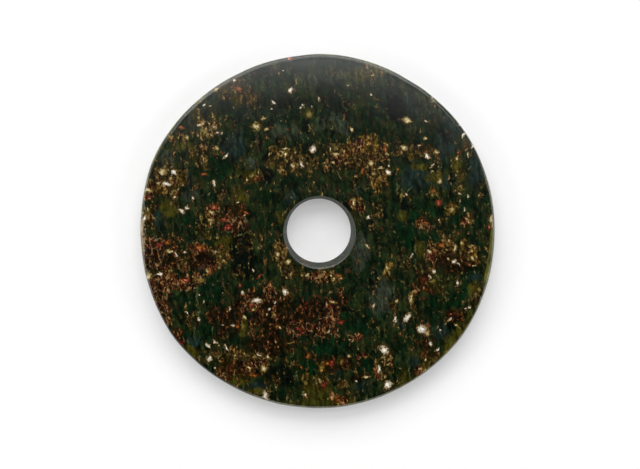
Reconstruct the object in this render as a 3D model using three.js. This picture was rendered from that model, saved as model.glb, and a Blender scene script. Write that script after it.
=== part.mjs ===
// A plain jade bi: one flat, round disc of nephrite with a round hole near its middle, sawn,
// drilled and ground by hand. Millimetres, +Z up. The disc lies on its underside, and the
// origin is the middle of that underside.
import * as THREE from 'three';

// The disc as a whole.
const DISC_RADIUS = 100;
const THICKNESS = 12;
const AROUND = 120; // facets round the disc
const CURVE_STEPS = 3; // facets along each rounded stretch of the section

// Both faces are flat in the middle and fall away a little towards the rim.
const UPPER_FLAT_RADIUS = 60;
const UPPER_FALL = 0.9;
const UNDER_FLAT_RADIUS = 80;
const UNDER_FALL = 0.4;

// The rim is a slightly convex wall between two rounded edges.
const EDGE_ROUND = 2.2;
const RIM_BULGE = 0.4;

// The hole was drilled from both faces with a tube drill that wore narrower as it went, so
// each half is a cone, and the halves meet at a ridge.
const MOUTH_RADIUS = 19.9;
const RIDGE_RADIUS = 17.95;
const RIDGE_HEIGHT = 5.6;
const RIDGE_HALF_WIDTH = 0.7;
const RIDGE_ROUND = 0.25;
const MOUTH_ROUND = 0.8;

// Where each drilling is centred. The two missed each other by about 2 mm.
const UPPER_DRILLING = new THREE.Vector2(1.2, -0.5);
const UNDER_DRILLING = new THREE.Vector2(0.4, 1.2);
const DRIFT_ENDS = 60; // no drift of the drillings is felt in the faces beyond this radius

// The rim was ground round by eye. Each lobe raises it by height at peak, in degrees from +X.
const RIM_LOBES = [
  { count: 2, height: 0.22, peak: -1 },
  { count: 4, height: 0.21, peak: 51 },
  { count: 5, height: 0.15, peak: 10 },
  { count: 6, height: 0.22, peak: 32 },
];

// Half of the disc's section, from the underside by the hole, out round the rim and back over
// the upper face and down the hole. x is the distance from the axis and y the height.
function section() {
  const rimWall = DISC_RADIUS - RIM_BULGE;
  const rimTop = THICKNESS - UPPER_FALL;
  const rimMiddle = (rimTop + UNDER_FALL) / 2;
  const path = new THREE.Path();

  path.moveTo(MOUTH_RADIUS + MOUTH_ROUND, 0);
  path.lineTo(UNDER_FLAT_RADIUS, 0);
  path.quadraticCurveTo(
    (UNDER_FLAT_RADIUS + DISC_RADIUS) / 2, 0,
    rimWall - EDGE_ROUND, UNDER_FALL,
  );

  path.quadraticCurveTo(rimWall, UNDER_FALL, rimWall, UNDER_FALL + EDGE_ROUND);
  path.quadraticCurveTo(DISC_RADIUS + RIM_BULGE, rimMiddle, rimWall, rimTop - EDGE_ROUND);
  path.quadraticCurveTo(rimWall, rimTop, rimWall - EDGE_ROUND, rimTop);

  path.quadraticCurveTo(
    (UPPER_FLAT_RADIUS + DISC_RADIUS) / 2, THICKNESS,
    UPPER_FLAT_RADIUS, THICKNESS,
  );
  path.lineTo(MOUTH_RADIUS + MOUTH_ROUND, THICKNESS);

  path.quadraticCurveTo(MOUTH_RADIUS, THICKNESS, MOUTH_RADIUS, THICKNESS - MOUTH_ROUND);
  path.lineTo(RIDGE_RADIUS + RIDGE_ROUND, RIDGE_HEIGHT + RIDGE_HALF_WIDTH);
  path.quadraticCurveTo(
    RIDGE_RADIUS - RIDGE_ROUND, RIDGE_HEIGHT,
    RIDGE_RADIUS + RIDGE_ROUND, RIDGE_HEIGHT - RIDGE_HALF_WIDTH,
  );
  path.lineTo(MOUTH_RADIUS, MOUTH_ROUND);
  path.quadraticCurveTo(MOUTH_RADIUS, 0, MOUTH_RADIUS + MOUTH_ROUND, 0);
  return path.getPoints(CURVE_STEPS);
}

// How far the rim stands out beyond a true circle at an angle in radians.
function rimRise(angle) {
  return RIM_LOBES.reduce((rise, { count, height, peak }) => {
    const fromPeak = angle - THREE.MathUtils.degToRad(peak);
    return rise + height * Math.cos(count * fromPeak);
  }, 0);
}

// Moves a point of the true turned form, sideways only, to where the hand-made one has it.
function asGround(point) {
  const radius = Math.hypot(point.x, point.y);
  const towardsRim = THREE.MathUtils.smoothstep(radius, DRIFT_ENDS, DISC_RADIUS - EDGE_ROUND);
  const towardsHole = 1 - THREE.MathUtils.smoothstep(radius, MOUTH_RADIUS, DRIFT_ENDS);
  const stretch = 1 + (towardsRim * rimRise(Math.atan2(point.y, point.x))) / radius;
  const drift = UNDER_DRILLING.clone().lerp(UPPER_DRILLING, point.z / THICKNESS);

  point.x = point.x * stretch + drift.x * towardsHole;
  point.y = point.y * stretch + drift.y * towardsHole;
  return point;
}

// Sets the middle of the outline on the Z axis, because the lobes pull it a little to one side.
function centred(geometry) {
  geometry.computeBoundingBox();
  const middle = geometry.boundingBox.getCenter(new THREE.Vector3());
  return geometry.translate(-middle.x, -middle.y, 0);
}

function discGeometry() {
  const geometry = new THREE.LatheGeometry(section(), AROUND);
  geometry.rotateX(Math.PI / 2); // a lathe turns about Y, and the disc's axis is Z

  const positions = geometry.getAttribute('position');
  const point = new THREE.Vector3();
  for (let i = 0; i < positions.count; i += 1) {
    asGround(point.fromBufferAttribute(positions, i));
    positions.setXYZ(i, point.x, point.y, point.z);
  }
  geometry.computeVertexNormals();
  return centred(geometry);
}

function jade() {
  return new THREE.MeshStandardMaterial({ color: 0x2b3020, roughness: 0.25, metalness: 0 });
}

const bi = new THREE.Group();
const disc = new THREE.Mesh(discGeometry(), jade());
disc.name = 'jade_disc';
bi.add(disc);

export default bi;
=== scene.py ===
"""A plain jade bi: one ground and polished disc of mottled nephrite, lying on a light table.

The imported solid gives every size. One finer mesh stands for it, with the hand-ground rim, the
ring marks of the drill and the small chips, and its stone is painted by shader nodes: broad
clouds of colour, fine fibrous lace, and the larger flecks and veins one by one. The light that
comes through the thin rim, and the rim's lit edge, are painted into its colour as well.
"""

import logging
import math
from dataclasses import dataclass, field
from enum import Enum

import bpy
import numpy as np
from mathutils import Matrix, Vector


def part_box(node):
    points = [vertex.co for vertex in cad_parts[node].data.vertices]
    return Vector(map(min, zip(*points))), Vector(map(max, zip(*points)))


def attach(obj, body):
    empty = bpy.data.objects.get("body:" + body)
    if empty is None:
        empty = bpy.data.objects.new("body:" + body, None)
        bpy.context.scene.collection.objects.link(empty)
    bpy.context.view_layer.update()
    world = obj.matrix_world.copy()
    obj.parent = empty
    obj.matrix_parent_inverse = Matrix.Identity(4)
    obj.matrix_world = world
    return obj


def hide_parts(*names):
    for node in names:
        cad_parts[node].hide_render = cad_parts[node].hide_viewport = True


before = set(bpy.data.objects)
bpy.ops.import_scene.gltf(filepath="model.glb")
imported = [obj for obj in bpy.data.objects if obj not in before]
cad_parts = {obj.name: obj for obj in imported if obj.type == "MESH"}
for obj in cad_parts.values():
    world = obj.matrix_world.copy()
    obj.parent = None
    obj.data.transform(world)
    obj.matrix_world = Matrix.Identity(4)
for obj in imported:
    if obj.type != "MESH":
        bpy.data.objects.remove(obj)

LOG = logging.getLogger("jade_bi")
MM = 0.001

# A cloud is full up to the first share of its half size, and gone at the second.
CLOUD_FADE = (0.45, 1.5)

# The smallest flecks lie this deep, as a share of the flecks' reach, and a larger one lies higher
# by the second share for each millimetre of its size.
FLECK_SINKING = (0.85, 0.25)

# Flecks are laid along the nearest of these steps, in degrees, which is close enough by eye.
LEAN_STEP = 20

# The stone's grain leans to the left by this many degrees.
GRAIN_LEAN = 8.0

Source = bpy.types.NodeSocket | float | tuple[float, ...]


def ramp(value: np.ndarray, low: float, high: float) -> np.ndarray:
    """A smooth step.

    Args:
        value: The numbers to grade.
        low: Where the step starts at 0.
        high: Where it ends at 1.

    Returns:
        The graded numbers, from 0 to 1.
    """
    share = np.clip((value - low) / (high - low), 0.0, 1.0)
    return share * share * (3.0 - 2.0 * share)


def linear(code: str) -> tuple[float, float, float, float]:
    """A colour as the shader takes it.

    Args:
        code: Its six hexadecimal figures, as it looks in daylight.

    Returns:
        Its red, green, blue and alpha in linear light.
    """
    parts = [int(code[i : i + 2], 16) / 255 for i in (0, 2, 4)]
    light = [p / 12.92 if p <= 0.04045 else ((p + 0.055) / 1.055) ** 2.4 for p in parts]
    return (light[0], light[1], light[2], 1.0)


class Tint(Enum):
    """The colours in the stone, as they look in daylight."""

    BODY = "0a1a0b"
    BODY_LIGHT = "1d2710"
    GREEN = "051c0a"
    TEAL = "17241f"
    OLIVE = "3a360c"
    SLATE = "2c3227"
    BLACK = "050905"
    EARTH = "2a200b"
    CRUST = "93805f"
    WHITE = "f4efe2"
    CREAM = "d8c79c"
    TAN = "a08a5c"
    SHELL = "b4915f"
    STRAW = "84722c"
    AMBER = "b0641e"
    RED = "701204"
    PINK = "d8946c"
    PALE_GREEN = "5f6a3c"
    BROWN = "3c200c"
    # Painted light: the pale olive laid along the rim for light coming through the thin stone and
    # for the rim's lit edge.
    PAINTED_RIM_GLOW = "5c5826"

    @property
    def linear(self) -> tuple[float, float, float, float]:
        """The colour as the shader takes it."""
        return linear(self.value)


class Ground(Enum):
    """What a broad cloud in the stone is made of. The value names its mesh attribute."""

    GREEN = "green"
    TEAL = "teal"
    OLIVE = "olive"
    GOLD = "gold"
    MOSS = "moss"
    UMBER = "umber"
    RUST = "rust"
    BLACK = "black"
    SLATE = "slate"
    CRUST = "crust"
    CALM = "calm"


@dataclass(frozen=True)
class Crumb:
    """The colours of one kind of crumbly ground, from its gaps to its brightest grains."""

    stops: tuple[tuple[float, str], ...]

    def colours(self) -> list[tuple[float, tuple[float, ...]]]:
        """The stops with their colours in linear light."""
        return [(place, linear(code)) for place, code in self.stops]


CRUMBS: dict[str, Crumb] = {
    "dust": Crumb(
        (
            (0.00, "070d05"),
            (0.30, "141c09"),
            (0.50, "2a2f12"),
            (0.65, "454526"),
            (0.80, "6f6b48"),
            (0.92, "a29c7c"),
            (1.00, "d8d2bc"),
        )
    ),
    "moss": Crumb(
        (
            (0.00, "120d04"),
            (0.30, "281d08"),
            (0.50, "433113"),
            (0.65, "554822"),
            (0.80, "867543"),
            (0.92, "bcab7e"),
            (1.00, "ece2ca"),
        )
    ),
    "umber": Crumb(
        (
            (0.00, "050301"),
            (0.30, "110903"),
            (0.50, "201405"),
            (0.65, "35210a"),
            (0.80, "5e431e"),
            (0.92, "9c7c50"),
            (1.00, "dcc9a4"),
        )
    ),
    "rust": Crumb(
        (
            (0.00, "0a0403"),
            (0.30, "220e07"),
            (0.50, "3b1a0c"),
            (0.65, "5a2f12"),
            (0.80, "845a2a"),
            (0.92, "bd9c66"),
            (1.00, "eadcc2"),
        )
    ),
    "gold": Crumb(
        (
            (0.00, "1e1505"),
            (0.30, "3c2a09"),
            (0.50, "5a3f10"),
            (0.65, "664c16"),
            (0.80, "96762f"),
            (1.00, "dcc484"),
        )
    ),
}


@dataclass(frozen=True)
class Cloud:
    """A broad soft patch of one ground, in millimetres from the disc's middle."""

    x: float
    y: float
    wide: float
    tall: float
    lean: float = 0.0
    strength: float = 1.0

    def share(self, x: np.ndarray, y: np.ndarray) -> np.ndarray:
        """How much of the stone is this patch.

        Args:
            x: Points' places to the right, in millimetres.
            y: Points' places upwards, in millimetres.

        Returns:
            The share at each point, from 0 to strength.
        """
        turn = math.radians(self.lean)
        across = (x - self.x) * math.cos(turn) - (y - self.y) * math.sin(turn)
        along = (x - self.x) * math.sin(turn) + (y - self.y) * math.cos(turn)
        away = np.hypot(across / (self.wide / 2), along / (self.tall / 2))
        return self.strength * (1.0 - ramp(away, *CLOUD_FADE))


CLOUDS: dict[Ground, tuple[Cloud, ...]] = {
    Ground.GREEN: (
        Cloud(-59, -34, 13, 20),
        Cloud(-72, -40, 10, 18, 0, 0.6),
        Cloud(-38, -28, 12, 14, 0, 0.7),
        Cloud(20, -52, 22, 9, 20),
        Cloud(6, -65, 22, 10, 0),
        Cloud(27, -76, 12, 10),
        Cloud(-6, -76, 14, 12, 0),
        Cloud(72, -39, 22, 12, -10),
        Cloud(50, 0, 14, 26, 0),
        Cloud(43, 14, 8, 12, 0, 0.8),
        Cloud(60, 10, 16, 12, 0, 0.8),
        Cloud(77, 6, 8, 7),
        Cloud(85, 16, 8, 8),
        Cloud(64, -3, 12, 6),
        Cloud(-56, 34, 14, 16, 0),
        Cloud(-72, 7, 9, 8),
        Cloud(-58, 21, 5, 6),
        Cloud(28, 30, 5, 6),
        Cloud(54, -43, 8, 6),
        Cloud(48, -58, 12, 10),
        Cloud(32, -47, 14, 8),
        Cloud(-62, -55, 9, 16, 0, 0.7),
        Cloud(6, -91, 9, 9),
        Cloud(84, -30, 12, 16, 0, 0.7),
        Cloud(-13, -72, 8, 7),
        Cloud(46, -78, 9, 12, 0, 0.7),
    ),
    Ground.TEAL: (
        Cloud(-46, 46, 15, 17),
        Cloud(-30, 66, 34, 16, 0, 0.35),
        Cloud(55, 30, 16, 16),
        Cloud(72, 47, 9, 18),
        Cloud(70, 27, 8, 8, 0, 0.7),
        Cloud(-90, 7, 7, 10),
        Cloud(-73, 29, 5, 9),
        Cloud(36, -38, 12, 16),
        Cloud(27, -88, 10, 6, 0, 0.6),
        Cloud(10, -81, 9, 8, 0, 0.4),
        Cloud(-33, -88, 12, 5),
        Cloud(-70, -63, 9, 7),
        Cloud(90, 32, 9, 18),
        Cloud(75, 58, 10, 12),
        Cloud(48, 70, 26, 10, 30, 0.6),
        Cloud(56, -75, 6, 7),
        Cloud(70, -56, 9, 9),
        Cloud(88, -27, 8, 6),
        Cloud(44, 41, 7, 12, 0, 0.4),
        Cloud(-14, 19, 7, 9),
        Cloud(47, -54, 6, 6),
    ),
    Ground.OLIVE: (
        Cloud(-38, 31, 11, 8),
        Cloud(-44, 17, 9, 14),
        Cloud(-69, 43, 5, 9),
        Cloud(-83, 12, 9, 9),
        Cloud(-52, -8, 11, 9, 0, 1.6),
        Cloud(-42, -53, 6, 12),
        Cloud(-34, -91, 9, 5),
        Cloud(-70, -70, 16, 6, 45),
        Cloud(82, -56, 10, 24, 35, 0.7),
        Cloud(76, -66, 10, 14, 45, 0.5),
        Cloud(48, 9, 7, 7, 0, 0.7),
        Cloud(57, -10, 6, 9),
        Cloud(65, 31, 10, 7, 0, 0.8),
        Cloud(80, 34, 14, 7, 60),
        Cloud(13, -73, 4, 6),
        Cloud(-22, 7, 6, 8, 0, 0.7),
        Cloud(-4, 66, 5, 6),
        Cloud(88, -34, 8, 10),
        Cloud(57, 37, 10, 4),
        Cloud(70, -28, 12, 10, 0, 0.6),
        Cloud(-75, 46, 16, 10, 0, 0.6),
        Cloud(-25, 37, 6, 8),
        Cloud(2, -97, 44, 6, 0, 0.5),
        Cloud(30, 88, 26, 9, -15, 0.9),
        Cloud(-50, 82, 36, 14, 35, 0.8),
        Cloud(1, -88, 16, 20, 0, 0.7),
        Cloud(-44, -84, 24, 8, -20, 0.7),
        Cloud(-66, 60, 9, 16, 0, 0.5),
        Cloud(-52, 81, 36, 12, 35, 0.5),
        Cloud(60, -73, 8, 10, 0, 0.6),
        Cloud(50, -85, 10, 10, 0, 0.7),
    ),
    Ground.GOLD: (
        Cloud(28, 49, 20, 12),
        Cloud(34, 27, 8, 12),
        Cloud(-92, 23, 16, 6),
        Cloud(-77, 30, 5, 12),
        Cloud(-67, -27, 10, 5),
        Cloud(-47, -78, 16, 8),
        Cloud(2, -76, 7, 4),
        Cloud(12, -95, 14, 5),
        Cloud(40, -22, 5, 12),
        Cloud(64, 21, 4, 7),
        Cloud(88, -17, 6, 9),
        Cloud(83, -7, 5, 7),
        Cloud(-25, 45, 6, 7),
        Cloud(52, 44, 6, 7),
        Cloud(17, 45, 12, 10, 0, 0.5),
        Cloud(88, 9, 8, 5, 0, 0.6),
        Cloud(75, 12, 6, 7),
        Cloud(-7, -86, 5, 14),
    ),
    Ground.MOSS: (
        Cloud(-62, 58, 18, 20, 0, 0.8),
        Cloud(-50, 82, 40, 16, 35, 1.3),
        Cloud(30, 89, 26, 9, -15, 0.6),
        Cloud(-78, 52, 14, 12, 0, 0.8),
        Cloud(20, 42, 38, 20),
        Cloud(46, 45, 13, 15, 0, 0.6),
        Cloud(-14, 38, 26, 16),
        Cloud(-88, 30, 16, 14),
        Cloud(-66, 42, 14, 14, 0, 0.7),
        Cloud(-86, -14, 26, 24),
        Cloud(-66, -16, 22, 16),
        Cloud(-56, -14, 14, 18, 0, 0.8),
        Cloud(-40, -72, 32, 18),
        Cloud(70, -13, 22, 20),
        Cloud(86, -15, 10, 14),
        Cloud(60, -28, 10, 16, 0, 0.8),
        Cloud(52, -39, 8, 12),
        Cloud(78, -47, 12, 9),
        Cloud(62, -70, 12, 16),
        Cloud(37, -77, 10, 16),
        Cloud(6, -75, 10, 10),
        Cloud(20, -60, 14, 5),
        Cloud(58, 47, 14, 8),
        Cloud(67, 44, 8, 7),
        Cloud(82, 47, 8, 8),
        Cloud(34, 30, 11, 18),
        Cloud(22, 14, 8, 12),
        Cloud(-22, -12, 8, 14),
        Cloud(-16, -22, 12, 10),
        Cloud(3, -26, 26, 8),
        Cloud(-60, 8, 16, 14, 0, 0.8),
        Cloud(-80, 22, 10, 10, 0, 0.8),
        Cloud(-95, 6, 8, 16),
        Cloud(70, 20, 14, 10, 0, 0.4),
        Cloud(84, 6, 10, 8),
        Cloud(-55, -66, 12, 14, 0, 0.6),
        Cloud(14, -88, 8, 8),
        Cloud(92, 22, 8, 14, 0, 0.5),
    ),
    Ground.UMBER: (
        Cloud(-30, -40, 26, 16),
        Cloud(-18, -50, 44, 20),
        Cloud(-5, -46, 24, 18),
        Cloud(3, -50, 18, 20),
        Cloud(-56, -49, 14, 18),
        Cloud(-46, -48, 10, 20),
        Cloud(-64, -17, 16, 12),
        Cloud(-44, 0, 12, 12),
        Cloud(-46, 12, 18, 10),
        Cloud(24, -82, 16, 7),
        Cloud(-26, -63, 34, 12),
        Cloud(-40, -78, 30, 12),
        Cloud(-86, -14, 20, 18),
        Cloud(12, -40, 14, 10),
        Cloud(75, -18, 24, 12),
        Cloud(60, -29, 14, 10),
        Cloud(10, -74, 26, 9),
        Cloud(-80, -60, 10, 16, 35),
        Cloud(26, 40, 26, 10, 0, 0.4),
        Cloud(-90, 18, 12, 14, 0, 0.7),
        Cloud(62, -66, 16, 14, 0, 0.6),
        Cloud(78, -48, 14, 8),
    ),
    Ground.RUST: (
        Cloud(-89, -9, 13, 9),
        Cloud(-91, -16, 10, 9),
        Cloud(-79, -28, 34, 8),
        Cloud(-88, -36, 12, 18),
        Cloud(-86, -48, 9, 20, 25),
        Cloud(-77, -62, 5, 7, 35),
        Cloud(-66, -9.5, 9, 7),
        Cloud(-47, 3, 14, 9),
        Cloud(-95, 20, 8, 8),
        Cloud(-58, 12, 8, 8, 0, 0.7),
        Cloud(-38, -42, 8, 8),
        Cloud(-26, -35, 7, 10),
        Cloud(-8, -55, 16, 7),
        Cloud(4, -53, 12, 12),
        Cloud(9, -43, 8, 8),
        Cloud(-36, -76, 18, 8, 0, 0.7),
        Cloud(64, -13, 8, 9),
        Cloud(23, 48, 7, 7),
        Cloud(9, 40, 10, 8, 0, 0.7),
        Cloud(23, -59, 8, 4),
        Cloud(4, -86, 4, 7),
        Cloud(12, -94, 10, 4),
        Cloud(24, -71, 7, 4),
        Cloud(34, -80, 5, 5),
        Cloud(58, -79, 6, 4),
        Cloud(62, -54, 5, 6),
        Cloud(60, 4, 7, 5),
        Cloud(82, 4, 5, 5),
        Cloud(23, 11, 5, 7, 0, 0.7),
        Cloud(1, -26, 14, 6),
        Cloud(-50, -81, 12, 6, 0, 0.6),
        Cloud(-61, -22, 5, 6),
        Cloud(-34, 29, 4, 4),
        Cloud(-57, -46, 7, 8, 0, 0.4),
    ),
    Ground.BLACK: (
        Cloud(-42, -14, 14, 26, 0, 1.3),
        Cloud(44, 68, 20, 10, 60, 1.0),
        Cloud(-25, 71, 34, 9, 0, 0.6),
        Cloud(10, 73, 30, 7, 0, 0.5),
        Cloud(-20, -80, 13, 16),
        Cloud(-24, -58, 7, 7),
        Cloud(-64, -16, 14, 5),
        Cloud(18, -45, 10, 4),
        Cloud(-52, -55, 8, 16, 0, 0.6),
        Cloud(-70, 24, 10, 8, 0, 0.5),
        Cloud(-28, 30, 8, 8),
        Cloud(-72, -48, 8, 10, 0, 0.4),
        Cloud(50, 14, 10, 5, 0, 0.7),
        Cloud(-20, -95, 20, 6, 0, 0.5),
        Cloud(28, 2, 5, 9, 0, 0.8),
        Cloud(-93, -10, 8, 8, 0, 0.6),
        Cloud(90, 24, 9, 12, 0, 0.4),
        Cloud(-44, -38, 6, 12, 0, 0.5),
    ),
    Ground.SLATE: (
        Cloud(-72, 21, 10, 8),
        Cloud(36, -36, 15, 26, 0, 0.7),
        Cloud(-36, 37, 7, 6),
        Cloud(9, 47, 6, 6),
        Cloud(24, -12, 9, 18),
        Cloud(10, 60, 26, 12, 0, 0.6),
        Cloud(-69, 60, 6, 12),
        Cloud(-83, 40, 8, 8, 0, 0.7),
        Cloud(22, 24, 10, 5, 0, 0.5),
        Cloud(82, 49, 7, 6),
        Cloud(-18, 55, 26, 12, 0, 0.6),
        # This wide grey cloud along the top is partly the stone and partly painted haze, the
        # reflection of the lights on the upper face.
        Cloud(12, 84, 60, 8, 0, 0.4),
        Cloud(24, -12, 10, 20, 0, 0.8),
    ),
    Ground.CRUST: (
        Cloud(-99, -11, 7, 24),
        Cloud(-95, -27, 4, 7, 15),
        Cloud(-99, 5, 5, 14),
        Cloud(-90.5, -3.5, 5, 4, 0, 0.8),
        Cloud(98, 6, 3, 10, 0, 0.7),
    ),
    Ground.CALM: (
        # The broad calm clouds across the top are partly clearer stone and partly painted haze:
        # they quiet the crumbs where the lights' reflection veils the upper face.
        Cloud(0, 92, 150, 30),
        Cloud(-8, 72, 70, 22, 0, 0.6),
        Cloud(-60, 82, 50, 20, 45, 0.7),
        Cloud(72, 70, 60, 24, -45),
        Cloud(48, 68, 30, 14),
        Cloud(-59, -33, 12, 20),
        Cloud(-78, -38, 10, 14),
        Cloud(54, 31, 12, 14),
        Cloud(48, 4, 10, 20, 0, 0.8),
        Cloud(-46, 46, 12, 14),
        Cloud(-54, 34, 12, 12, 0, 0.8),
        Cloud(20, -53, 18, 8),
        Cloud(6, -65, 20, 8),
        Cloud(80, -60, 12, 30, 35),
        Cloud(-52, -8, 7, 6),
        Cloud(-88, -46, 8, 22, 28),
        Cloud(28, -87, 10, 8),
        Cloud(36, -36, 10, 12, 0, 0.7),
        Cloud(-72, -64, 10, 24, 45, 0.8),
        Cloud(90, 36, 8, 20, 10),
        Cloud(72, 46, 7, 16),
        Cloud(90, 8, 8, 10, 0, 0.5),
        Cloud(-92, -17, 6, 8, 0, 0.8),
    ),
}


@dataclass(frozen=True)
class Inclusion:
    """A fleck or a vein of another mineral, in millimetres from the disc's middle."""

    x: float
    y: float
    wide: float
    long: float
    lean: int = 0

    @property
    def laid(self) -> tuple[int, float, float]:
        """How it is laid, with one that lies across the grain told by its other side.

        Returns:
            The nearest step of lean, in degrees, and the size across that and along it.
        """
        if abs(self.lean) <= 45:
            return LEAN_STEP * round(self.lean / LEAN_STEP), self.wide, self.long
        crosswise = self.lean - math.copysign(90, self.lean)
        return LEAN_STEP * round(crosswise / LEAN_STEP), self.long, self.wide

    @property
    def sunk(self) -> float:
        """How deep its middle lies, as a share of the flecks' reach. Small ones lie deeper."""
        deepest, rise = FLECK_SINKING
        return max(0.0, deepest - rise * math.sqrt(self.wide * self.long))


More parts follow.
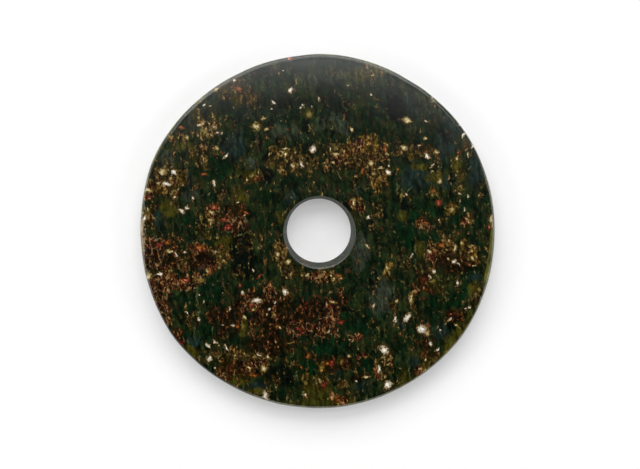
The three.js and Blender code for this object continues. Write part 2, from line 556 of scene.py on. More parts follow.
INCLUSIONS: dict[Tint, tuple[Inclusion, ...]] = {
    Tint.BROWN: (
        Inclusion(-33.6, 50, 1.8, 12),
        Inclusion(-13, 79, 2.2, 3.4),
        Inclusion(46, 62.6, 3.4, 3.0),
        Inclusion(51.6, 46, 2.2, 3.0),
        Inclusion(-55.4, 54.8, 5.0, 3.6),
        Inclusion(60, -58.6, 5.4, 2.4),
        Inclusion(56.4, -57.4, 2.4, 2.4),
        Inclusion(75.2, -13, 3.6, 4.6),
        Inclusion(-65, -21, 8, 3),
        Inclusion(17, -22.4, 5.4, 4.0, 20),
    ),
    Tint.PALE_GREEN: (
        Inclusion(-67.2, -36, 1.1, 11.0, -10),
        Inclusion(-66.6, -46, 0.9, 9.0, -10),
        Inclusion(-84.2, -36.2, 0.8, 8.0),
        Inclusion(44.4, 24, 0.9, 10.0, -10),
        Inclusion(51.4, 23.2, 1.0, 7.0, 30),
        Inclusion(42.8, -33.4, 0.8, 9.0),
        Inclusion(54.6, -9.6, 0.9, 6.4, 10),
        Inclusion(-58.8, -55.4, 0.8, 8.6, -10),
        Inclusion(-69.2, -57, 0.8, 8.4, -10),
        Inclusion(-72.4, -62, 1.0, 4.4, -20),
        Inclusion(50, -58.4, 0.9, 4.6, 20),
        Inclusion(51.5, -79, 0.9, 8.4),
        Inclusion(-11.6, -80.8, 0.9, 5.6, 10),
        Inclusion(36.6, -40.4, 1.0, 7.0, 10),
        Inclusion(67.6, -26, 0.7, 7.4, -40),
        Inclusion(73.2, -26.4, 0.7, 5.6, 20),
        Inclusion(59, -23.4, 0.7, 5.2, 50),
        Inclusion(82.6, -5, 0.8, 4.0, -60),
        Inclusion(-28.8, 27, 0.9, 4.2, 40),
        Inclusion(-43, -2, 0.8, 10.0, 70),
        Inclusion(12, -83, 2.4, 2.4, 30),
        Inclusion(28, -94, 1.4, 3.6),
        Inclusion(-35.4, -91, 0.6, 4.4, 60),
        Inclusion(-52.6, -81, 0.8, 5.4, -40),
        Inclusion(98, -9, 1.6, 22),
        Inclusion(87.8, -37.6, 0.8, 4.2, 60),
        Inclusion(85.6, 35.4, 0.9, 3.6, 40),
        Inclusion(-40, 6, 1.6, 2.6),
        Inclusion(19.6, -78.4, 0.7, 3.4, -40),
        Inclusion(-54.6, -56, 0.7, 5.0),
        Inclusion(49, -13.6, 0.8, 3.0, -20),
        Inclusion(65.6, -46.4, 0.8, 2.6),
    ),
    Tint.STRAW: (
        Inclusion(-12.3, 83.6, 1.6, 5.4, 10),
        Inclusion(-4.6, 65, 3.0, 3.8),
        Inclusion(-4.4, 58, 1.4, 5.6),
        Inclusion(-46, 78, 2.0, 3.2),
        Inclusion(64.6, 72.6, 4.2, 2.6),
        Inclusion(-66, 73, 2.8, 2.2),
        Inclusion(-66, -27.6, 6.4, 2.8, -10),
        Inclusion(-32, 23.4, 2.2, 1.8),
        Inclusion(64.4, 21, 2.4, 5.4),
        Inclusion(75.2, 11.6, 3.4, 3.6),
        Inclusion(4, -56.6, 3.0, 2.2),
        Inclusion(2, -76.4, 3.6, 2.0),
        Inclusion(-2.4, -82, 1.8, 3.2),
        Inclusion(-7, -85.4, 2.6, 3.2),
        Inclusion(-15, -62.8, 7.6, 1.3),
        Inclusion(40, -20.8, 2.6, 5.0),
        Inclusion(68.4, -12.6, 1.8, 2.0),
        Inclusion(64, -28.2, 3.6, 1.8),
        Inclusion(90.4, -33, 2.6, 3.0),
        Inclusion(72.4, -67.6, 2.2, 3.2, 20),
        Inclusion(-42, -53, 2.6, 8.0, -10),
        Inclusion(-55, -20.6, 1.8, 2.2),
        Inclusion(67, 31.4, 2.0, 2.0),
        Inclusion(80.4, 24, 1.6, 4.0),
        Inclusion(30, 95, 9, 1.4, -20),
        Inclusion(-23.4, -8, 2.4, 2.4),
        Inclusion(-86, 34, 4.6, 2.4),
        Inclusion(-64, 56, 5.6, 3.6),
        Inclusion(13.6, -73.4, 1.6, 4.0),
        Inclusion(35, 30, 1.8, 5.0, 10),
        Inclusion(47, 20, 2.2, 4.0),
        Inclusion(-37, 31, 4.0, 2.0),
    ),
    Tint.RED: (
        Inclusion(68, 15.8, 3.8, 4.0),
        Inclusion(-32.6, -25, 2.6, 4.0, 50),
        Inclusion(-6, -40.4, 1.8, 2.0),
        Inclusion(-6.4, -43, 3.0, 1.4),
        Inclusion(-10, -55, 4.2, 1.7, 10),
        Inclusion(-52, 5.4, 4.6, 1.4, -10),
        Inclusion(-49.6, 2.4, 4.8, 3.8),
        Inclusion(12.8, -51, 4.0, 1.6, -20),
        Inclusion(7.2, -42.2, 3.0, 2.2),
        Inclusion(24, -58.4, 4.2, 1.0),
        Inclusion(59.4, -37.6, 1.8, 1.8),
        Inclusion(62.4, -14, 2.6, 2.2),
        Inclusion(-92.4, 25, 1.2, 1.6),
        Inclusion(-94, 19.4, 3.4, 1.8),
        Inclusion(4, -86, 1.8, 4.0),
        Inclusion(-76.4, -62.6, 2.4, 3.0, 20),
        Inclusion(57.6, -79.4, 3.6, 1.4, 40),
        Inclusion(62.4, -53, 2.0, 3.0),
        Inclusion(-89, -8, 5.2, 3.6, -20),
        Inclusion(82, 4.8, 2.8, 2.2),
        Inclusion(34, -81, 2.2, 2.4),
        Inclusion(-37, -44.6, 3.0, 2.0),
        Inclusion(96, 1.4, 1.6, 1.8),
        Inclusion(7.8, -74.6, 2.2, 4.0, 20),
    ),
    Tint.AMBER: (
        Inclusion(-43.8, 80, 3.2, 2.4),
        Inclusion(-15.5, 97, 3.2, 2.2),
        Inclusion(-66.2, -9.4, 4.6, 3.0, 10),
        Inclusion(-63.4, -9.6, 1.8, 3.0),
        Inclusion(-58, 13.4, 3.6, 2.8, -20),
        Inclusion(-22.4, -53.4, 2.6, 1.8),
        Inclusion(-45, -53.4, 1.8, 2.4),
        Inclusion(-5, -70, 2.8, 2.2),
        Inclusion(-35, 29, 2.0, 2.2),
        Inclusion(-60.6, -22.6, 1.8, 3.6, -10),
        Inclusion(60.8, 4.4, 2.2, 2.6),
        Inclusion(64.8, 22.8, 1.6, 2.6),
        Inclusion(39.2, 26, 1.8, 1.6),
        Inclusion(25.2, 33.6, 1.6, 4.0),
        Inclusion(-9.2, -76.2, 2.8, 0.9, 30),
        Inclusion(5.6, -74, 2.0, 3.0, 20),
        Inclusion(-36, -81, 4.6, 1.4),
        Inclusion(-40, 10.2, 2.6, 1.8),
        Inclusion(-64, 32, 3.6, 2.0),
        Inclusion(-76.4, 58, 3.4, 1.8),
        Inclusion(-84, -6.4, 3.2, 2.4),
        Inclusion(12, -94.8, 4.0, 1.4),
        Inclusion(69.6, -8, 4.0, 2.6),
        Inclusion(37.6, 46, 1.6, 4.6),
        Inclusion(12, -25, 2.6, 2.0),
        Inclusion(78.6, 44, 1.4, 1.8),
    ),
    Tint.PINK: (
        Inclusion(67.9, 15.9, 1.6, 2.4, 40),
        Inclusion(-32.5, -25.2, 0.9, 3.0, 50),
        Inclusion(13.6, -51.2, 1.9, 1.0, -20),
        Inclusion(-50.2, 1.8, 3.0, 1.5),
        Inclusion(-52, 6.2, 3.6, 0.7, -10),
        Inclusion(63.8, -12.6, 1.3, 1.6),
        Inclusion(-65.4, -10.6, 1.4, 1.6),
        Inclusion(-43.6, 78.4, 1.0, 0.9),
        Inclusion(-57.6, 13, 1.8, 1.4),
        Inclusion(-37.4, -41.4, 1.8, 1.4),
        Inclusion(8, -73, 1.6, 1.0),
        Inclusion(82.2, 4.6, 1.4, 1.0),
        Inclusion(-8, -57, 1.0, 0.9),
        Inclusion(96.4, 2.6, 1.4, 2.0),
        Inclusion(-15.6, 97, 1.6, 1.6),
        Inclusion(-74, -27.4, 2.8, 1.6),
        Inclusion(-43.6, -30.6, 1.0, 1.6),
        Inclusion(74.6, -46.6, 1.4, 1.0),
    ),
    Tint.CREAM: (
        Inclusion(-34.4, 58.6, 4.4, 3.8, 20),
        Inclusion(-30, 63, 2.8, 1.9, -20),
        Inclusion(-28.3, 56.8, 2.0, 1.9),
        Inclusion(50.2, 62, 4.4, 3.2, 10),
        Inclusion(48.5, 46.7, 3.2, 2.4, 20),
        Inclusion(19.2, 56.6, 2.8, 1.6, 30),
        Inclusion(60.6, 51.9, 2.2, 1.8, 20),
        Inclusion(-56.4, 46.4, 2.4, 1.8, 10),
        Inclusion(-56.8, 79.4, 2.6, 1.4, -20),
        Inclusion(68.6, 28, 1.9, 3.0, 20),
        Inclusion(75, 12, 1.8, 2.4, -20),
        Inclusion(61.4, -57, 3.2, 3.0, -30),
        Inclusion(-30.2, -77, 3.0, 3.6),
        Inclusion(-38.4, -77, 1.3, 3.4, -60),
        Inclusion(-61.9, -22.6, 1.2, 3.2, -10),
        Inclusion(-59.6, 10.6, 2.6, 1.7),
        Inclusion(-60.3, 6.4, 1.0, 2.2, 40),
        Inclusion(-82.4, -11.2, 4.6, 1.6, 10),
        Inclusion(77, -9.6, 1.9, 4.0),
        Inclusion(62.8, -11.4, 3.2, 1.3, 20),
        Inclusion(44.4, -39.5, 2.4, 2.0, -40),
        Inclusion(-13.6, 36.4, 2.6, 3.4),
        Inclusion(30, 38, 2.6, 3.4, 10),
        Inclusion(10.6, 43, 4.6, 1.6, -10),
        Inclusion(-18, 46.2, 4.4, 1.1),
        Inclusion(-16.4, -17.2, 2.8, 2.2, -40),
        Inclusion(-22, -13, 2.4, 2.8),
        Inclusion(-21, -54, 1.2, 2.2),
        Inclusion(17.6, -70, 1.7, 1.9),
        Inclusion(-28, -70.2, 2.2, 1.6),
        Inclusion(-41, -48.4, 2.8, 1.6, 30),
        Inclusion(-28.6, -46.6, 1.6, 1.8),
        Inclusion(-24.2, -46.6, 1.2, 2.0, -20),
        Inclusion(-36, -44, 2.4, 1.2),
        Inclusion(34.6, -26.4, 1.2, 1.8),
        Inclusion(38.6, -20.4, 1.4, 3.8),
        Inclusion(28, -8.5, 1.0, 3.6, -60),
        Inclusion(39.6, -74.4, 2.0, 0.9, 20),
        Inclusion(27, -81.6, 3.4, 1.2, 10),
        Inclusion(78.2, -53.4, 0.9, 3.0, -50),
        Inclusion(60.2, -72.2, 1.6, 2.2),
        Inclusion(87, -15, 1.6, 2.6, -40),
        Inclusion(87.4, -19.2, 2.6, 0.8, -20),
        Inclusion(52.4, -38, 1.4, 5.4, -10),
        Inclusion(-95, -25.4, 3.0, 4.0),
        Inclusion(-95.4, 22.6, 5.4, 2.4),
        Inclusion(-89, 27, 2.4, 1.6),
        Inclusion(-87, 33, 4.0, 3.0, 20),
        Inclusion(-52.6, -16.8, 1.6, 2.0, -20),
        Inclusion(-5.7, -24.9, 1.4, 1.4),
        Inclusion(-39.6, 28.4, 1.4, 2.4),
        Inclusion(35.4, 35.4, 3.6, 1.3),
        Inclusion(78, 40.4, 1.4, 2.8),
        Inclusion(64, 33, 1.4, 1.2),
        Inclusion(97.6, 6.6, 1.4, 5.0),
        Inclusion(30.6, 87.3, 1.1, 1.1),
        Inclusion(8.4, 38.4, 2.6, 1.4),
        Inclusion(-36.4, 31.4, 2.2, 1.0, -40),
        Inclusion(2.4, 20.6, 1.4, 1.6),
        Inclusion(79.6, 59.6, 1.6, 1.0, -40),
        Inclusion(66.8, 44, 2.8, 2.2),
        Inclusion(57.2, 48, 2.2, 1.0),
        Inclusion(-26.6, 43, 0.9, 3.0, 40),
        Inclusion(8.6, -39.6, 3.6, 1.4, 20),
        Inclusion(73, -15.6, 1.6, 1.4),
        Inclusion(41.4, -14, 0.8, 2.2),
    ),
    Tint.WHITE: (
        Inclusion(58.5, -55, 4.6, 5.0, -20),
        Inclusion(50.3, -48.5, 2.8, 5.2, 30),
        Inclusion(43.7, -49.5, 1.3, 4.2, 10),
        Inclusion(-33.8, -39, 5.4, 2.8, 10),
        Inclusion(-42, -34.6, 2.0, 1.9, 20),
        Inclusion(-15.1, 78.8, 2.0, 3.2, 20),
        Inclusion(61.3, 41.9, 2.9, 2.4, 30),
        Inclusion(39.9, 33, 3.0, 2.2, 60),
        Inclusion(39.9, 36.2, 1.6, 1.6),
        Inclusion(-2.4, 45.8, 3.4, 3.6, 30),
        Inclusion(-84.5, 26.6, 2.3, 5.6, -70),
        Inclusion(-80.6, 33.3, 2.2, 4.2, -30),
        Inclusion(-57.8, 27, 1.8, 3.4, 10),
        Inclusion(-76.2, 11.2, 1.7, 3.2, -60),
        Inclusion(-73.2, 13, 1.4, 3.0, 60),
        Inclusion(-60.7, -71.3, 2.2, 3.0),
        Inclusion(-61.5, -64, 1.4, 3.2, -30),
        Inclusion(-29.3, -92.6, 2.6, 5.6, -20),
        Inclusion(39.4, -86.3, 4.6, 3.6, 10),
        Inclusion(34.3, -77.4, 1.9, 4.2, 10),
        Inclusion(37.4, -66.6, 5.4, 3.4, 40),
        Inclusion(31.4, -41.7, 1.5, 2.6),
        Inclusion(78.6, -29.4, 1.2, 3.4),
        Inclusion(82, 53.8, 1.2, 3.2, 40),
        Inclusion(64.3, 75, 1.3, 2.6),
        Inclusion(86.8, 47.6, 1.8, 1.8, 30),
        Inclusion(76.4, -17.2, 2.0, 2.4, 40),
        Inclusion(78.6, -18.6, 0.9, 2.8, -60),
        Inclusion(65.3, -22.6, 1.5, 2.8, 10),
        Inclusion(63.1, -26, 1.2, 2.0),
        Inclusion(-24.4, 72.1, 0.8, 3.2, -40),
        Inclusion(-8.4, 70.7, 1.4, 2.0, 30),
        Inclusion(-9.4, 68.7, 1.3, 0.9),
        Inclusion(-7.2, 69.4, 0.9, 0.9),
        Inclusion(-26.2, 68.3, 0.9, 0.9),
        Inclusion(-3.6, 69.8, 0.8, 0.8),
        Inclusion(-20.8, 61.7, 0.9, 0.9),
        Inclusion(0.6, 74, 0.9, 2.6, -20),
        Inclusion(16.7, 81.8, 1.4, 1.1),
        Inclusion(30.1, 76.4, 1.4, 1.4),
        Inclusion(-19.3, 89.8, 1.2, 0.9),
        Inclusion(-63.3, 70.9, 1.7, 1.1),
        Inclusion(-60.1, 70.4, 1.1, 0.9),
        Inclusion(-66.2, 59, 1.9, 1.1, 20),
        Inclusion(-58.2, 58.2, 1.5, 1.2),
        Inclusion(-56.3, 55.1, 1.2, 1.3),
        Inclusion(-54, 54.8, 1.4, 1.2, 60),
        Inclusion(-46.5, 84, 1.7, 1.7),
        Inclusion(-70, 18.6, 1.2, 2.6),
        Inclusion(-75, 25.8, 1.6, 1.0, -20),
        Inclusion(-97.4, 7, 2.4, 3.4, 20),
        Inclusion(-74.4, -12, 2.3, 1.2, -20),
        Inclusion(-57.5, -11.7, 2.2, 1.1),
        Inclusion(-79.4, -13.2, 1.0, 3.0, -30),
        Inclusion(-88.3, -23.8, 3.2, 1.6, 10),
        Inclusion(-73.4, -46, 0.9, 2.8, -30),
        Inclusion(-66.4, -49.4, 0.9, 2.8, -20),
        Inclusion(-66, -35.6, 1.1, 1.4),
        Inclusion(-64, -39.5, 1.0, 1.0),
        Inclusion(-53.4, -34.6, 1.2, 0.9),
        Inclusion(-49.5, -43.4, 1.0, 2.0, 10),
        Inclusion(-36.3, -21.9, 1.0, 2.4),
        Inclusion(-27, -43.8, 2.6, 0.9),
        Inclusion(-23.7, -40.2, 1.2, 1.0),
        Inclusion(-18.2, -34, 2.4, 4.0, -20),
        Inclusion(-57.5, -62.1, 1.4, 2.8, -60),
        Inclusion(-51.2, -65.4, 1.0, 3.6, -40),
        Inclusion(-57, -76.8, 1.3, 1.1),
        Inclusion(-53, -53, 1.4, 1.0),
        Inclusion(-47, -52.8, 1.6, 1.6, 20),
        Inclusion(68.6, -55.6, 1.2, 1.2),
        Inclusion(63, -62.8, 1.1, 2.6, -20),
        Inclusion(67.1, -66.5, 1.1, 2.8, 60),
        Inclusion(64.2, 36.5, 0.9, 3.0, 60),
        Inclusion(79.4, 20.9, 1.5, 1.3),
        Inclusion(84.2, 19.4, 1.0, 1.8),
        Inclusion(79.6, 16.6, 1.0, 1.6),
        Inclusion(49.5, 20.3, 1.8, 1.4, 30),
        Inclusion(48, 19.4, 1.0, 0.8),
        Inclusion(52.6, -13.6, 1.0, 3.0, 20),
        Inclusion(85, -42.4, 1.4, 1.4),
        Inclusion(83, -43.7, 0.9, 0.9),
        Inclusion(74.3, -49.3, 1.2, 1.6),
        Inclusion(21.9, -84.2, 0.9, 2.2, -40),
        Inclusion(-7, -91.6, 1.8, 1.6),
        Inclusion(-43.6, 8, 0.9, 1.4),
        Inclusion(61, 61.6, 1.4, 1.2),
        Inclusion(-45, 16, 1.2, 1.2),
        Inclusion(28.2, 7.9, 1.8, 2.0, 40),
        Inclusion(-33.2, -69.2, 0.9, 3.2, -40),
        Inclusion(-51.4, 42.2, 1.0, 3.4, 40),
        Inclusion(6, -56.4, 1.2, 1.2),
        Inclusion(18.4, -60.8, 1.2, 0.9),
        Inclusion(-8.9, 37.4, 0.9, 4.0, -40),
        Inclusion(82.2, 12, 1.2, 2.0, 10),
        Inclusion(84.5, 42, 0.8, 3.2),
        Inclusion(-98.6, 2, 1.6, 6),
    ),
}


@dataclass(frozen=True)
class PaintedRimGlow:
    """A stretch of rim with painted light, between two angles in degrees: its colour stands for
    light coming through the thin stone and for the rim's lit edge.
    """

    start: float
    end: float
    width: float
    soft: float
    strength: float = 1.0


@dataclass(frozen=True)
class Bump:
    """A place where the rim was ground less, or more if its height is negative, in degrees."""

    peak: float
    spread: float
    height: float


@dataclass(frozen=True)
class Chip:
    """A small flake lost from the upper edge of the rim, at an angle in degrees."""

    angle: float
    long: float
    deep: float


@dataclass(frozen=True)
class Lobe:
    """One of the waves that grinding by eye left in the rim. Heights are in millimetres."""

    count: int
    height: float
    peak: float


class Grain:
    """Smooth unevenness that is the same each time, from a shuffled lattice."""

    LATTICE = 256

    def __init__(self, seed: int, size: float) -> None:
        """Shuffles the lattice.

        Args:
            seed: Which unevenness this is.
            size: The spacing of its lumps, in millimetres.
        """
        self.size = size
        shuffled = np.random.default_rng(seed).permutation(self.LATTICE)
        self.order = np.concatenate([shuffled, shuffled])

    def at(self, x: np.ndarray, y: np.ndarray, z: np.ndarray | float = 0.0) -> np.ndarray:
        """The unevenness at some points.

        Args:
            x: Their places to the right, in millimetres.
            y: Their places upwards on the face.
            z: Their heights.

        Returns:
            A number from -1 to 1 for each point.
        """
        places = np.stack(np.broadcast_arrays(x, y, z), axis=-1) / self.size
        corner = np.floor(places).astype(int)
        part = places - corner
        ease = part * part * (3.0 - 2.0 * part)
        total = np.zeros(places.shape[:-1])
        for step in np.ndindex(2, 2, 2):
            a, b, c = (corner[..., i] + step[i] for i in range(3))
            row = self.order[a % self.LATTICE] + b % self.LATTICE
            picked = self.order[self.order[row] + c % self.LATTICE]
            weight = np.prod(np.where(step, ease, 1.0 - ease), axis=-1)
            total += weight * (2.0 * picked / (self.LATTICE - 1) - 1.0)
        return total


DRILL_GRAIN = Grain(3, 9.0)
LONG_WAVES = Grain(5, 26.0)
SHORT_WAVES = Grain(6, 9.0)
RIM_GRAIN = Grain(11, 1.0)
SIDEWAYS = ((2.4, Grain(21, 8.0)), (1.1, Grain(22, 3.5)))
UPWARDS = ((2.4, Grain(23, 8.0)), (1.1, Grain(24, 3.5)))


@dataclass(frozen=True)
class Ring:
    """One turn of the disc's section: its distance from the axis and its height."""

    radius: float
    height: float


def curve(start: Ring, pull: Ring, end: Ring, steps: int) -> list[Ring]:
    """A quadratic curve between two rings, without its first ring.

    Args:
        start: Where it starts.
        pull: The point that it bends towards.
        end: Where it ends.
        steps: How many rings it gets.

    Returns:
        The rings after start, up to and with end.
    """
    rings = []
    for i in range(1, steps + 1):
        t = i / steps
        a, b, c = (1 - t) ** 2, 2 * t * (1 - t), t * t
        rings.append(
            Ring(
                a * start.radius + b * pull.radius + c * end.radius,
                a * start.height + b * pull.height + c * end.height,
            )
        )
    return rings


def line(start: Ring, end: Ring, steps: int) -> list[Ring]:
    """Even rings on a straight line, without its first ring.

    Args:
        start: Where it starts.
        end: Where it ends.
        steps: How many rings it gets.

    Returns:
        The rings after start, up to and with end.
    """
    middle = Ring((start.radius + end.radius) / 2, (start.height + end.height) / 2)
    return curve(start, middle, end, steps)


@dataclass
class GroundDisc:
    """The stone disc: sawn, ground round by eye, drilled from both faces and polished.

    All its sizes are in millimetres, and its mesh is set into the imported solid's box at the end.
    """

    low: Vector
    high: Vector
    radius: float = 100.0
    around: int = 560
    upper_flat: float = 60.0
    upper_fall: float = 0.9
    under_flat: float = 80.0
    under_fall: float = 0.4
    edge_round: float = 2.2
    rim_bulge: float = 0.4
    mouth: float = 19.9
    mouth_round: float = 0.8
    ridge: float = 17.95
    ridge_height: float = 5.6
    ridge_half_width: float = 0.7
    ridge_round: float = 0.25
    upper_drilling: tuple[float, float] = (1.2, -0.5)
    under_drilling: tuple[float, float] = (0.4, 1.2)
    drift_ends: float = 60.0
    under_rows: int = 24
    under_fall_rows: int = 8
    foot_rows: int = 6
    wall_rows: int = 9
    head_rows: int = 8
    upper_rows: int = 34
    mouth_rows: int = 4
    upper_bore_rows: int = 16
    ridge_rows: int = 6
    under_bore_rows: int = 9
    under_mouth_rows: int = 3
    wave: float = 0.07
    short_wave: float = 0.3
    under_wave: float = 0.5
    wave_from_hole: tuple[float, float] = (1.0, 8.0)
    wave_to_rim: tuple[float, float] = (3.0, 1.0)
    drill_marks: float = 0.05
    mark_turns: tuple[float, float] = (7.0, 3.1)
    wall_edge: tuple[float, float] = (-0.2, 0.4)
    bore_edge: tuple[float, float] = (-0.1, 0.4)
    facets: float = 9.0
    facet_height: float = 0.12
    chip_inset: float = 1.0
    chip_drop: float = 0.6
    chip_reach: float = 1.4
    chip_slope: float = 0.7
    chip_edge: tuple[float, float] = (0.5, 1.1)
    slant: tuple[float, float] = (9.0, -6.0)
    # How the painted rim light fades along the rim and below its upper edge.
    glow_fade: float = 3.0
    glow_depth: tuple[float, float] = (4.0, 1.6)
    lobes: tuple[Lobe, ...] = (
        Lobe(2, 0.22, -1),
        Lobe(4, 0.21, 51),
        Lobe(5, 0.15, 10),
        Lobe(6, 0.22, 32),
    )
    bumps: tuple[Bump, ...] = (
        Bump(157, 9, 0.45),
        Bump(215, 7, 0.25),
        Bump(325, 7, 0.25),
        Bump(60, 6, -0.3),
        Bump(100, 8, -0.3),
    )
    chips: tuple[Chip, ...] = (
        Chip(49, 2.2, 0.35),
        Chip(29, 1.6, 0.25),
        Chip(134, 2.0, 0.25),
        Chip(172, 3.0, 0.4),
        Chip(186, 5.0, 0.5),
        Chip(193, 3.0, 0.4),
        Chip(252.5, 2.4, 0.3),
        Chip(306, 1.8, 0.25),
        Chip(99, 1.5, 0.2),
        Chip(3, 2.5, 0.25),
        Chip(338, 1.6, 0.2),
    )
    # Painted light along the rim: stretches lightened towards pale olive for light coming through
    # the thin stone, and the thin pale line of the lit edge.
    glows: tuple[PaintedRimGlow, ...] = (
        PaintedRimGlow(-112, 195, 1.2, 1.0, 0.8),
        PaintedRimGlow(-17, 3, 3.4, 0.9),
        PaintedRimGlow(-60, -24, 5.0, 6.0, 0.3),
        PaintedRimGlow(250, 288, 2.6, 4.0, 0.25),
        PaintedRimGlow(219, 230, 5.0, 5.0, 0.2),
        PaintedRimGlow(128, 136, 2.4, 1.6, 0.6),
        PaintedRimGlow(70, 77, 2.0, 1.6, 0.6),
    )
    thickness: float = field(init=False)

    def __post_init__(self) -> None:
        """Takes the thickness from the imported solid."""
        self.thickness = (self.high.z - self.low.z) / MM

    def section(self) -> list[Ring]:
        """The closed section, from the underside by the hole, out, up, in and down the hole.

        Returns:
            Its rings in order.
        """
        wall = self.radius - self.rim_bulge
        top = self.thickness - self.upper_fall
        inner = Ring(self.mouth + self.mouth_round, 0.0)
        under = Ring(self.under_flat, 0.0)
        under_edge = Ring(wall - self.edge_round, self.under_fall)
        wall_foot = Ring(wall, self.under_fall + self.edge_round)
        wall_head = Ring(wall, top - self.edge_round)
        upper_edge = Ring(wall - self.edge_round, top)
        upper = Ring(self.upper_flat, self.thickness)
        upper_inner = Ring(self.mouth + self.mouth_round, self.thickness)
        bore_head = Ring(self.mouth, self.thickness - self.mouth_round)
        ridge_radius = self.ridge + self.ridge_round
        above = Ring(ridge_radius, self.ridge_height + self.ridge_half_width)
        below = Ring(ridge_radius, self.ridge_height - self.ridge_half_width)
        bore_foot = Ring(self.mouth, self.mouth_round)

        rings = [inner]
        rings += line(inner, under, self.under_rows)
        pull = Ring((self.under_flat + self.radius) / 2, 0.0)
        rings += curve(under, pull, under_edge, self.under_fall_rows)
        rings += curve(under_edge, Ring(wall, self.under_fall), wall_foot, self.foot_rows)
        middle = Ring(self.radius + self.rim_bulge, (top + self.under_fall) / 2)
        rings += curve(wall_foot, middle, wall_head, self.wall_rows)
        rings += curve(wall_head, Ring(wall, top), upper_edge, self.head_rows)
        pull = Ring((self.upper_flat + self.radius) / 2, self.thickness)
        rings += curve(upper_edge, pull, upper, self.upper_rows)
        rings += line(upper, upper_inner, self.upper_rows)
        rings += curve(upper_inner, Ring(self.mouth, self.thickness), bore_head, self.mouth_rows)
        rings += line(bore_head, above, self.upper_bore_rows)
        pull = Ring(self.ridge - self.ridge_round, self.ridge_height)
        rings += curve(above, pull, below, self.ridge_rows)
        rings += line(below, bore_foot, self.under_bore_rows)
        rings += curve(bore_foot, Ring(self.mouth, 0.0), inner, self.under_mouth_rows)
        return rings[:-1]

    def rim_rise(self, angle: np.ndarray) -> np.ndarray:
        """How far the rim stands out beyond a true circle.

        Args:
            angle: Directions from the middle, in radians.

        Returns:
            The rise at each, in millimetres.
        """
        rise = np.zeros_like(angle)
        for lobe in self.lobes:
            rise += lobe.height * np.cos(lobe.count * (angle - math.radians(lobe.peak)))
        return rise

    def rim_flats(self, angle: np.ndarray) -> np.ndarray:
        """The shorter facets and bumps of the hand-ground rim, beyond its lobes.

        Args:
            angle: Directions from the middle, in radians.

        Returns:
            The rise at each, in millimetres.
        """
        rise = np.zeros_like(angle)
        for bump in self.bumps:
            away = (np.degrees(angle) - bump.peak + 180) % 360 - 180
            rise += bump.height * np.exp(-((away / bump.spread) ** 2))
        uneven = RIM_GRAIN.at(self.facets * np.cos(angle), self.facets * np.sin(angle))
        return rise + self.facet_height * uneven

    def chip_depth(self, radius: np.ndarray, angle: np.ndarray, z: np.ndarray) -> np.ndarray:
        """How deep the lost flakes are.

        Args:
            radius: Points' distances from the axis.
            angle: Their directions, in radians.
            z: Their heights.

        Returns:
            The depth at each, in millimetres.
        """
        top = self.thickness - self.upper_fall
        edge = Ring(self.radius - self.chip_inset, top - self.chip_drop)
        depth = np.zeros_like(radius)
        for chip in self.chips:
            away = (np.degrees(angle) - chip.angle + 180) % 360 - 180
            along = np.radians(away) * self.radius / (chip.long / 2)
            across = np.hypot(radius - edge.radius, z - edge.height) / self.chip_reach
            lost = 1.0 - ramp(np.hypot(along, across), *self.chip_edge)
            depth = np.maximum(depth, chip.deep * lost)
        return depth

    def drift(self, z: np.ndarray) -> tuple[np.ndarray, np.ndarray]:
        """Where the drillings are centred.

        Args:
            z: Heights, in millimetres.

        Returns:
            How far to the right and how far upwards, at each height.
        """
        share = z / self.thickness
        ends = zip(self.under_drilling, self.upper_drilling)
        to_right, upwards = ((1 - share) * under + share * upper for under, upper in ends)
        return to_right, upwards

    def points(self) -> np.ndarray:
        """The mesh's points.

        Returns:
            Their places in millimetres, ring by ring.
        """
        rings = self.section()
        angle = np.linspace(0.0, 2 * math.pi, self.around, endpoint=False)[None, :]
        radius = np.array([ring.radius for ring in rings])[:, None] + 0.0 * angle
        z = np.array([ring.height for ring in rings])[:, None] + 0.0 * angle
        angle = angle + 0.0 * radius

        to_rim = ramp(radius, self.drift_ends, self.radius - self.edge_round)
        to_hole = 1.0 - ramp(radius, self.mouth, self.drift_ends)
        spread = radius + to_rim * (self.rim_rise(angle) + self.rim_flats(angle))
        inside, outside = self.wall_edge
        wall = 1.0 - ramp(radius, self.mouth + inside, self.mouth + outside)
        turns, stray = self.mark_turns
        uneven = DRILL_GRAIN.at(radius * np.cos(angle), radius * np.sin(angle), z)
        marks = np.sin(z * turns + np.sin(z * stray)) * uneven
        spread += wall * self.drill_marks * (1.0 + marks)
        spread -= self.chip_depth(radius, angle, z)
        z = z - self.chip_slope * self.chip_depth(radius, angle, z)

        to_right, upwards = self.drift(z)
        x = spread * np.cos(angle) + to_hole * to_right
        y = spread * np.sin(angle) + to_hole * upwards

        near, far = self.wave_from_hole
        face = ramp(radius, self.mouth + near, self.mouth + far)
        far, near = self.wave_to_rim
        face *= 1.0 - ramp(radius, self.radius - far, self.radius - near)
        dip = self.wave * face * (1.0 + LONG_WAVES.at(x, y)) / 2
        dip += self.short_wave * self.wave * face * (1.0 + SHORT_WAVES.at(x, y)) / 2
        z = np.where(z > self.thickness / 2, z - dip, z + self.under_wave * dip)
        return np.stack([x, y, z], axis=-1).reshape(-1, 3)

    def settled(self, points: np.ndarray) -> np.ndarray:
        """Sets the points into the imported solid's box.

        Args:
            points: Places in millimetres, about any middle.

        Returns:
            Their places in metres, none outside the box.
        """
        low, high = np.array(self.low), np.array(self.high)
        least, most = points.min(axis=0), points.max(axis=0)
        scale = (high - low) / (most - least)
        return low + (points - least) * scale

